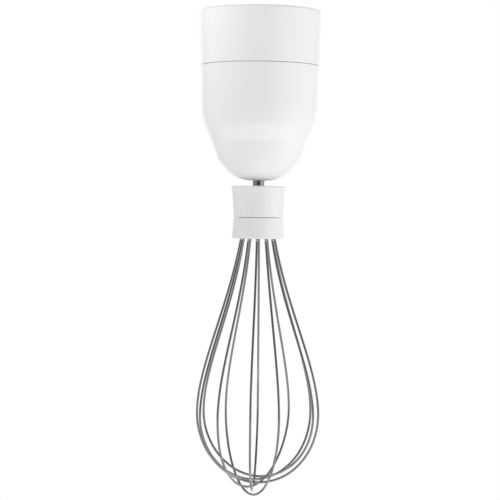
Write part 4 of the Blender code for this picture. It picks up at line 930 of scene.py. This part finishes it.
def make_whisk_shaft():
    """The whisk's steel shaft with its hexagon end and groove, the ring that grips, and the seal."""
    groove = SHAFT_RADIUS - GRIP_GROOVE_DEPTH
    groove_half = GRIP_RING_SECTION + RUNNING_GAP
    outline = [
        (0, SHAFT_TOP_Z),
        (SHAFT_RADIUS - SHAFT_BEVEL, SHAFT_TOP_Z),
        (SHAFT_RADIUS, SHAFT_TOP_Z - SHAFT_BEVEL),
        (SHAFT_RADIUS, GRIP_GROOVE_Z + groove_half),
        (groove, GRIP_GROOVE_Z + groove_half),
        (groove, GRIP_GROOVE_Z - groove_half),
        (SHAFT_RADIUS, GRIP_GROOVE_Z - groove_half),
        (SHAFT_RADIUS, SHAFT_BOTTOM_Z),
        (0, SHAFT_BOTTOM_Z),
    ]
    shaft = turned_mesh("whisk_shaft_skin", outline, SMALL_STEPS)
    reach = SHAFT_RADIUS + CUT_MARGIN
    flat = SHAFT_HEX_ACROSS_FLATS / 2
    side = [(flat, -reach), (reach, -reach), (reach, reach), (flat, reach)]
    cutters = []
    flats = around(SHAFT_HEX_SIDES, math.pi / SHAFT_HEX_SIDES)
    for number, angle in enumerate(flats, start=1):
        cutter = prism_mesh(f"flat_{number}", side, SHAFT_TOP_Z + CUT_MARGIN, SHAFT_HEX_END_Z)
        cutter.transform(Matrix.Rotation(angle, 4, "Z"))
        cutters.append(cutter)
    add_piece("whisk_shaft_skin", combine(shaft, cutters), "whisk", "shaft_steel", "whisk_shaft")
    middle = groove + RUNNING_GAP + GRIP_RING_SECTION
    round_section = arc(GRIP_RING_SECTION, around(GRIP_RING_STEPS))
    section = [(middle + r, GRIP_GROOVE_Z - z) for r, z in round_section]
    add_turned("grip_ring", section, SMALL_STEPS, "whisk", "seal_rubber")
    lip = SHAFT_RADIUS + SEAL_LIP_GAP
    body = lip + SEAL_LIP_THICKNESS
    seal = [
        (body, SEAL_TOP_Z),
        (SEAL_RADIUS, SEAL_TOP_Z),
        (SEAL_RADIUS, SEAL_BOTTOM_Z),
        (lip, SEAL_BOTTOM_Z),
        (lip, SEAL_BOTTOM_Z + SEAL_LIP_THICKNESS),
        (body, SEAL_BOTTOM_Z + 2 * SEAL_LIP_THICKNESS),
    ]
    add_turned("shaft_seal", seal, ROUND_STEPS, "housing", "seal_rubber")


def make_hub():
    """The hub's upper sleeve and lower ring, with the seam between them, and the wire holder inside."""
    top = [
        (HUB_BORE, HUB_TOP_Z, 0),
        (HUB_LIP_RADIUS, HUB_TOP_Z, HUB_EDGE_ROUNDING),
        (HUB_NECK_RADIUS, HUB_TOP_Z - HUB_NECK_DROP, HUB_NECK_ROUNDING),
        (HUB_WAIST_RADIUS, HUB_SEAM_Z, HUB_SEAM_ROUNDING),
        (HOLDER_RADIUS, HUB_SEAM_Z, 0),
        (HOLDER_RADIUS, HUB_SEAM_Z - HUB_SPIGOT_HEIGHT, 0),
        (HUB_BORE, HUB_SEAM_Z - HUB_SPIGOT_HEIGHT, 0),
    ]
    add_turned("hub_sleeve", soften(top), ROUND_STEPS, "whisk", "hub_white")
    lip_radius = HUB_RING_INNER_RADIUS - HUB_RING_LIP_DEPTH
    ring = [
        (HUB_RING_INNER_RADIUS, HUB_RING_TOP_Z, 0),
        (HUB_WAIST_RADIUS, HUB_RING_TOP_Z, HUB_SEAM_ROUNDING),
        (HUB_RING_RADIUS, HUB_BOTTOM_Z, HUB_EDGE_ROUNDING),
        (lip_radius, HUB_BOTTOM_Z, 0),
        (lip_radius, HUB_BOTTOM_Z + HUB_RING_LIP_HEIGHT, 0),
        (HUB_RING_INNER_RADIUS, HUB_BOTTOM_Z + HUB_RING_LIP_HEIGHT, 0),
    ]
    add_turned("hub_ring", soften(ring), ROUND_STEPS, "whisk", "hub_white")
    plug = [
        (0, HOLDER_TOP_Z, 0),
        (HOLDER_RADIUS, HOLDER_TOP_Z, 0),
        (HOLDER_RADIUS, HOLDER_BOTTOM_Z, HOLDER_ROUNDING),
        (0, HOLDER_BOTTOM_Z, 0),
    ]
    holder = turned_mesh("wire_holder_skin", soften(plug), ROUND_STEPS)
    bore_depth = HOLDER_TOP_Z - SHAFT_BOTTOM_Z + SEAT_GAP
    bore = rods_mesh("holder_bore", HUB_BORE, 2 * bore_depth, [Matrix.Translation((0, 0, HOLDER_TOP_Z))])
    middle = (HOLDER_TOP_Z + HOLDER_BOTTOM_Z) / 2
    tilt = Matrix.Rotation(-math.atan(LEG_SLOPE), 4, "Y")
    leg_angles = around(2 * len(LOOPS), LOOP_PHASE)
    places = [upright(leg_radius(middle), angle, middle) @ tilt for angle in leg_angles]
    length = HOLDER_TOP_Z - HOLDER_BOTTOM_Z + 2 * CUT_MARGIN
    holes = rods_mesh("wire_holes", WIRE_RADIUS + WIRE_HOLE_GAP, length, places)
    add_piece("wire_holder_skin", combine(holder, [bore, holes]), "whisk", "hub_white", "wire_holder")


def leg_radius(z):
    """How far a wire's straight leg is from the axis at a height inside the hub."""
    return LEG_CIRCLE_RADIUS + LEG_SLOPE * (HUB_BOTTOM_Z - z)


def bezier(start, pull_start, pull_end, end, share):
    """The point at a share of a curve between two ends, by the two points that pull it."""
    rest = 1 - share
    weights = (rest**3, 3 * rest**2 * share, 3 * rest * share**2, share**3)
    points = (start, pull_start, pull_end, end)
    return tuple(sum(w * p[axis] for w, p in zip(weights, points)) for axis in range(2))


def loop_half(tip_z):
    """One leg of a loop before it is bent, from inside the hub to the tip, as (radius, height) points."""
    length = math.hypot(1, LEG_SLOPE)
    leg_end = (LEG_CIRCLE_RADIUS, HUB_BOTTOM_Z)
    pull_start = (
        leg_end[0] + SHOULDER_PULL * LEG_SLOPE / length,
        leg_end[1] - SHOULDER_PULL / length,
    )
    belly = (BELLY_RADIUS, BELLY_Z)
    pull_end = (BELLY_RADIUS, BELLY_Z + BELLY_PULL)
    wire_top = HOLDER_TOP_Z - SEAT_GAP
    points = [(leg_radius(wire_top), wire_top)]
    shares = [step / WIRE_SHOULDER_STEPS for step in range(WIRE_SHOULDER_STEPS + 1)]
    points += [bezier(leg_end, pull_start, pull_end, belly, share) for share in shares]
    for step in range(1, WIRE_BELLY_STEPS + 1):
        angle = math.pi / 2 * step / WIRE_BELLY_STEPS
        points.append((BELLY_RADIUS * math.cos(angle), BELLY_Z - (BELLY_Z - tip_z) * math.sin(angle)))
    return points


def wire_mesh(name, path, across):
    """A round wire along a path, with flat ends and a map that runs lengthwise."""
    solid = bmesh.new()
    map_layer = solid.loops.layers.uv.new("lengthwise")
    rings = []
    lengths = [0.0]
    for index, point in enumerate(path):
        before = path[max(index - 1, 0)]
        after = path[min(index + 1, len(path) - 1)]
        along = (after - before).normalized()
        out = along.cross(across).normalized()
        side = out.cross(along).normalized()
        section = [WIRE_RADIUS * (out * u + side * v) for u, v in arc(1, around(WIRE_SIDES))]
        rings.append([solid.verts.new(point + offset) for offset in section])
        if index:
            lengths.append(lengths[-1] + (point - path[index - 1]).length / WIRE_RADIUS)
    for index, (ring, following) in enumerate(zip(rings, rings[1:])):
        for step in range(WIRE_SIDES):
            turned = (step + 1) % WIRE_SIDES
            face = solid.faces.new((ring[step], ring[turned], following[turned], following[step]))
            edges = (step / WIRE_SIDES, (step + 1) / WIRE_SIDES)
            spots = ((0, 0), (1, 0), (1, 1), (0, 1))
            for corner, (u, v) in zip(face.loops, spots):
                corner[map_layer].uv = (edges[u], lengths[index + v])
    solid.faces.new(rings[0])
    solid.faces.new(rings[-1])
    return made_mesh(name, solid)


def eased(share):
    """A share from 0 to 1 that starts and ends gently."""
    share = min(max(share, 0), 1)
    return share**2 * (3 - 2 * share)


def make_wires():
    """The six wire loops, each a little twisted and bent, which cross one above another at the tip."""
    for number, (twelfths, shortfall, twist, belly_shift, tip_shift) in enumerate(LOOPS, start=1):
        tip_z = HUB_BOTTOM_Z - LONGEST_LOOP_DROP + shortfall
        half = loop_half(tip_z)
        flat = half + [(-r, z) for r, z in reversed(half[:-1])]
        angle = LOOP_PHASE + math.pi * twelfths / len(LOOPS)
        path = []
        for r, z in flat:
            shoulder_share = eased((HUB_BOTTOM_Z - z) / BELLY_DROP)
            belly_share = eased((BELLY_Z - z) / (BELLY_Z - tip_z))
            turn = angle + math.radians(twist) * shoulder_share
            shift = belly_shift * shoulder_share + (tip_shift - belly_shift) * belly_share
            path.append(Vector((r * math.cos(turn) + shift, r * math.sin(turn), z)))
        across = Vector((-math.sin(angle), math.cos(angle), 0))
        name = f"wire_loop_skin_{number}"
        add_piece(name, wire_mesh(name, path, across), "whisk", "wire_steel", f"wire_loop_{number}")


def finish_nodes():
    """Gives the CAD nodes that stay the finish of their slot."""
    for part in frame["record"]["subparts"]:
        mesh = frame["nodes"][part["node"]].data
        mesh.materials.clear()
        mesh.materials.append(FINISHES[part["material_slot"]])


def seen_rays(tree):
    """1 for what the camera, a reflection or glass sees, and 0 for light that only reaches the object."""
    rays = add_node(tree, "ShaderNodeLightPath").outputs
    seen = rays["Is Camera Ray"]
    for kind in ("Is Glossy Ray", "Is Transmission Ray"):
        seen = add_node(tree, "ShaderNodeMath", {0: seen, 1: rays[kind]}, operation="MAXIMUM").outputs[0]
    return seen


def make_floor():
    """A pale floor well below the whisk."""
    z = cad_box[0].z - FLOOR_BELOW
    half = FLOOR_SIZE / 2
    mesh = bpy.data.meshes.new("floor")
    mesh.from_pydata([(x, y, z) for x, y in rectangle(half, half)], [], [(0, 1, 2, 3)])
    floor = add_object("floor", mesh)
    material, tree, shader = new_finish("floor_white", FLOOR_COLOUR, FLOOR_ROUGHNESS)
    shade_of_paper = tint(tree, noise(tree, FLOOR_CELLS), FLOOR_DARKER, FLOOR_COLOUR)
    tree.links.new(shade_of_paper, shader.inputs["Base Color"])
    shader.inputs["Emission Color"].default_value = WHITE
    glow = add_node(tree, "ShaderNodeMath", {0: seen_rays(tree), 1: FLOOR_GLOW}, operation="MULTIPLY")
    tree.links.new(glow.outputs[0], shader.inputs["Emission Strength"])
    mesh.materials.append(material)


def choose(tree, factor, low, high):
    """A plain number that is low where the factor is 0 and high where it is 1."""
    first, second = MIX_NUMBERS
    inputs = {MIX_FACTOR: factor, first: low, second: high}
    return add_node(tree, "ShaderNodeMix", inputs, data_type="FLOAT").outputs[MIX_NUMBER_RESULT]


def ramp(tree, value, start, end, low, high):
    """A soft step from one number to another."""
    inputs = {"Value": value, "From Min": start, "From Max": end, "To Min": low, "To Max": high}
    return add_node(tree, "ShaderNodeMapRange", inputs, interpolation_type="SMOOTHSTEP").outputs["Result"]


def make_world():
    """Even light from all sides. Reflections show the white backdrop behind and the darker room."""
    world = bpy.data.worlds.new("studio")
    bpy.context.scene.world = world
    world.use_nodes = True
    tree = world.node_tree
    background = tree.nodes["Background"]
    background.inputs["Color"].default_value = WHITE
    way = add_node(tree, "ShaderNodeTexCoord").outputs["Generated"]
    facing = add_node(tree, "ShaderNodeSeparateXYZ", {"Vector": way}).outputs
    front = ramp(tree, facing["Z"], ROOM_LOW_FROM, ROOM_LOW_FULL, ROOM_DARK, ROOM_LOW)
    sides = ramp(tree, facing["X"], -ROOM_SIDE_FROM, ROOM_SIDE_FROM, ROOM_LEFT, ROOM_RIGHT)
    sideways = add_node(tree, "ShaderNodeMath", {0: facing["X"]}, operation="ABSOLUTE").outputs[0]
    beside = ramp(tree, sideways, ROOM_SIDE_FROM, ROOM_SIDE_FULL, 0.0, 1.0)
    room = choose(tree, beside, front, sides)
    above = ramp(tree, facing["Z"], ROOM_ABOVE_FROM, ROOM_ABOVE_FULL, 0.0, 1.0)
    room = choose(tree, above, room, ROOM_ABOVE)
    behind = ramp(tree, facing["Y"], BACKDROP_FROM, BACKDROP_FULL, 0.0, 1.0)
    studio = choose(tree, behind, room, BACKDROP)
    rays = add_node(tree, "ShaderNodeLightPath").outputs
    light = ramp(tree, facing["Z"], 0.0, ROOM_LIGHT_BELOW_FULL, ROOM_LIGHT, ROOM_LIGHT_BELOW)
    strength = choose(tree, rays["Is Glossy Ray"], light, studio)
    strength = choose(tree, rays["Is Transmission Ray"], strength, BACKDROP)
    strength = choose(tree, rays["Is Camera Ray"], strength, BACKDROP)
    tree.links.new(strength, background.inputs["Strength"])


def make_lamps():
    """A large softbox low on the right, a weaker one on the left and a small one beside the collar."""
    for name, (place, target, (width, height), strength) in LAMPS.items():
        data = bpy.data.lights.new(name, "AREA")
        data.shape = "RECTANGLE"
        data.size = width
        data.size_y = height
        data.energy = strength
        lamp = add_object(name, data)
        turn = (Vector(place) - Vector(target)).to_track_quat("Z", "Y").to_matrix().to_4x4()
        lamp.matrix_world = Matrix.Translation(place) @ turn
        lamp.visible_camera = False
        lamp.visible_glossy = False


def glow_strip(name, distance, slopes, strength):
    """A bent strip that only reflections see, laid out by mirroring the view in the conical band.

    At each step across, slopes has the two slopes of the surface that show the strip's edges.
    """
    radius = (BARREL_END_RADIUS + BAND_END_RADIUS) / 2
    height = (BARREL_END_Z + BAND_END_Z) / 2
    strip = bmesh.new()
    rows = []
    for step, edges in enumerate(slopes):
        turn = CARD_TURN * (step / CARD_STEPS - 1)
        spot = Vector((radius * math.sin(turn), -radius * math.cos(turn), height))
        seen = (spot - Vector(CAMERA_PLACE)).normalized()
        row = []
        for slope in edges:
            level = math.cos(slope)
            normal = Vector((level * math.sin(turn), -level * math.cos(turn), -math.sin(slope)))
            row.append(strip.verts.new(spot + distance * seen.reflect(normal)))
        rows.append(row)
    for row, following in zip(rows, rows[1:]):
        strip.faces.new((row[0], row[1], following[1], following[0]))
    mesh = made_mesh(name, strip)
    material, _, shader = new_finish(name, BLACK, 1.0)
    shader.inputs["Emission Color"].default_value = WHITE
    shader.inputs["Emission Strength"].default_value = strength
    mesh.materials.append(material)
    piece = add_object(name, mesh)
    piece.visible_camera = False
    piece.visible_diffuse = False
    piece.visible_shadow = False


def make_card():
    """The bent card that glosses the conical band, thinner towards its ends, and the flag under it."""
    card = []
    flag = []
    for step in range(-CARD_STEPS, CARD_STEPS + 1):
        half = CARD_HALF * (1 - CARD_THIN * (step / CARD_STEPS)**2)
        below = CARD_SLOPE + half + FLAG_CLEAR
        card.append((CARD_SLOPE - half, CARD_SLOPE + half))
        flag.append((below, below + FLAG_WIDTH))
    glow_strip("low_card", CARD_DISTANCE, card, CARD_STRENGTH)
    glow_strip("low_flag", FLAG_DISTANCE, flag, FLAG_STRENGTH)


def make_camera():
    """The camera in front, at the photograph's height and distance, with its small tilts."""
    data = bpy.data.cameras.new("camera")
    data.lens = CAMERA_LENS
    data.sensor_width = CAMERA_SENSOR
    camera = add_object("camera", data)
    pitch = Matrix.Rotation(math.pi / 2 + CAMERA_PITCH, 4, "X")
    roll = Matrix.Rotation(CAMERA_ROLL, 4, "Z")
    camera.matrix_world = Matrix.Translation(CAMERA_PLACE) @ pitch @ roll
    bpy.context.scene.camera = camera


bpy.context.scene.view_settings.view_transform = "Standard"
FINISHES = {name: varied_finish(name, **row) for name, row in FINISH_ROWS.items()}
make_camera()
make_world()
make_lamps()
make_card()
make_floor()
finish_nodes()
make_collar()
make_lower_shell()
make_cover()
make_screws()
make_input()
make_whisk_shaft()
make_hub()
make_wires()
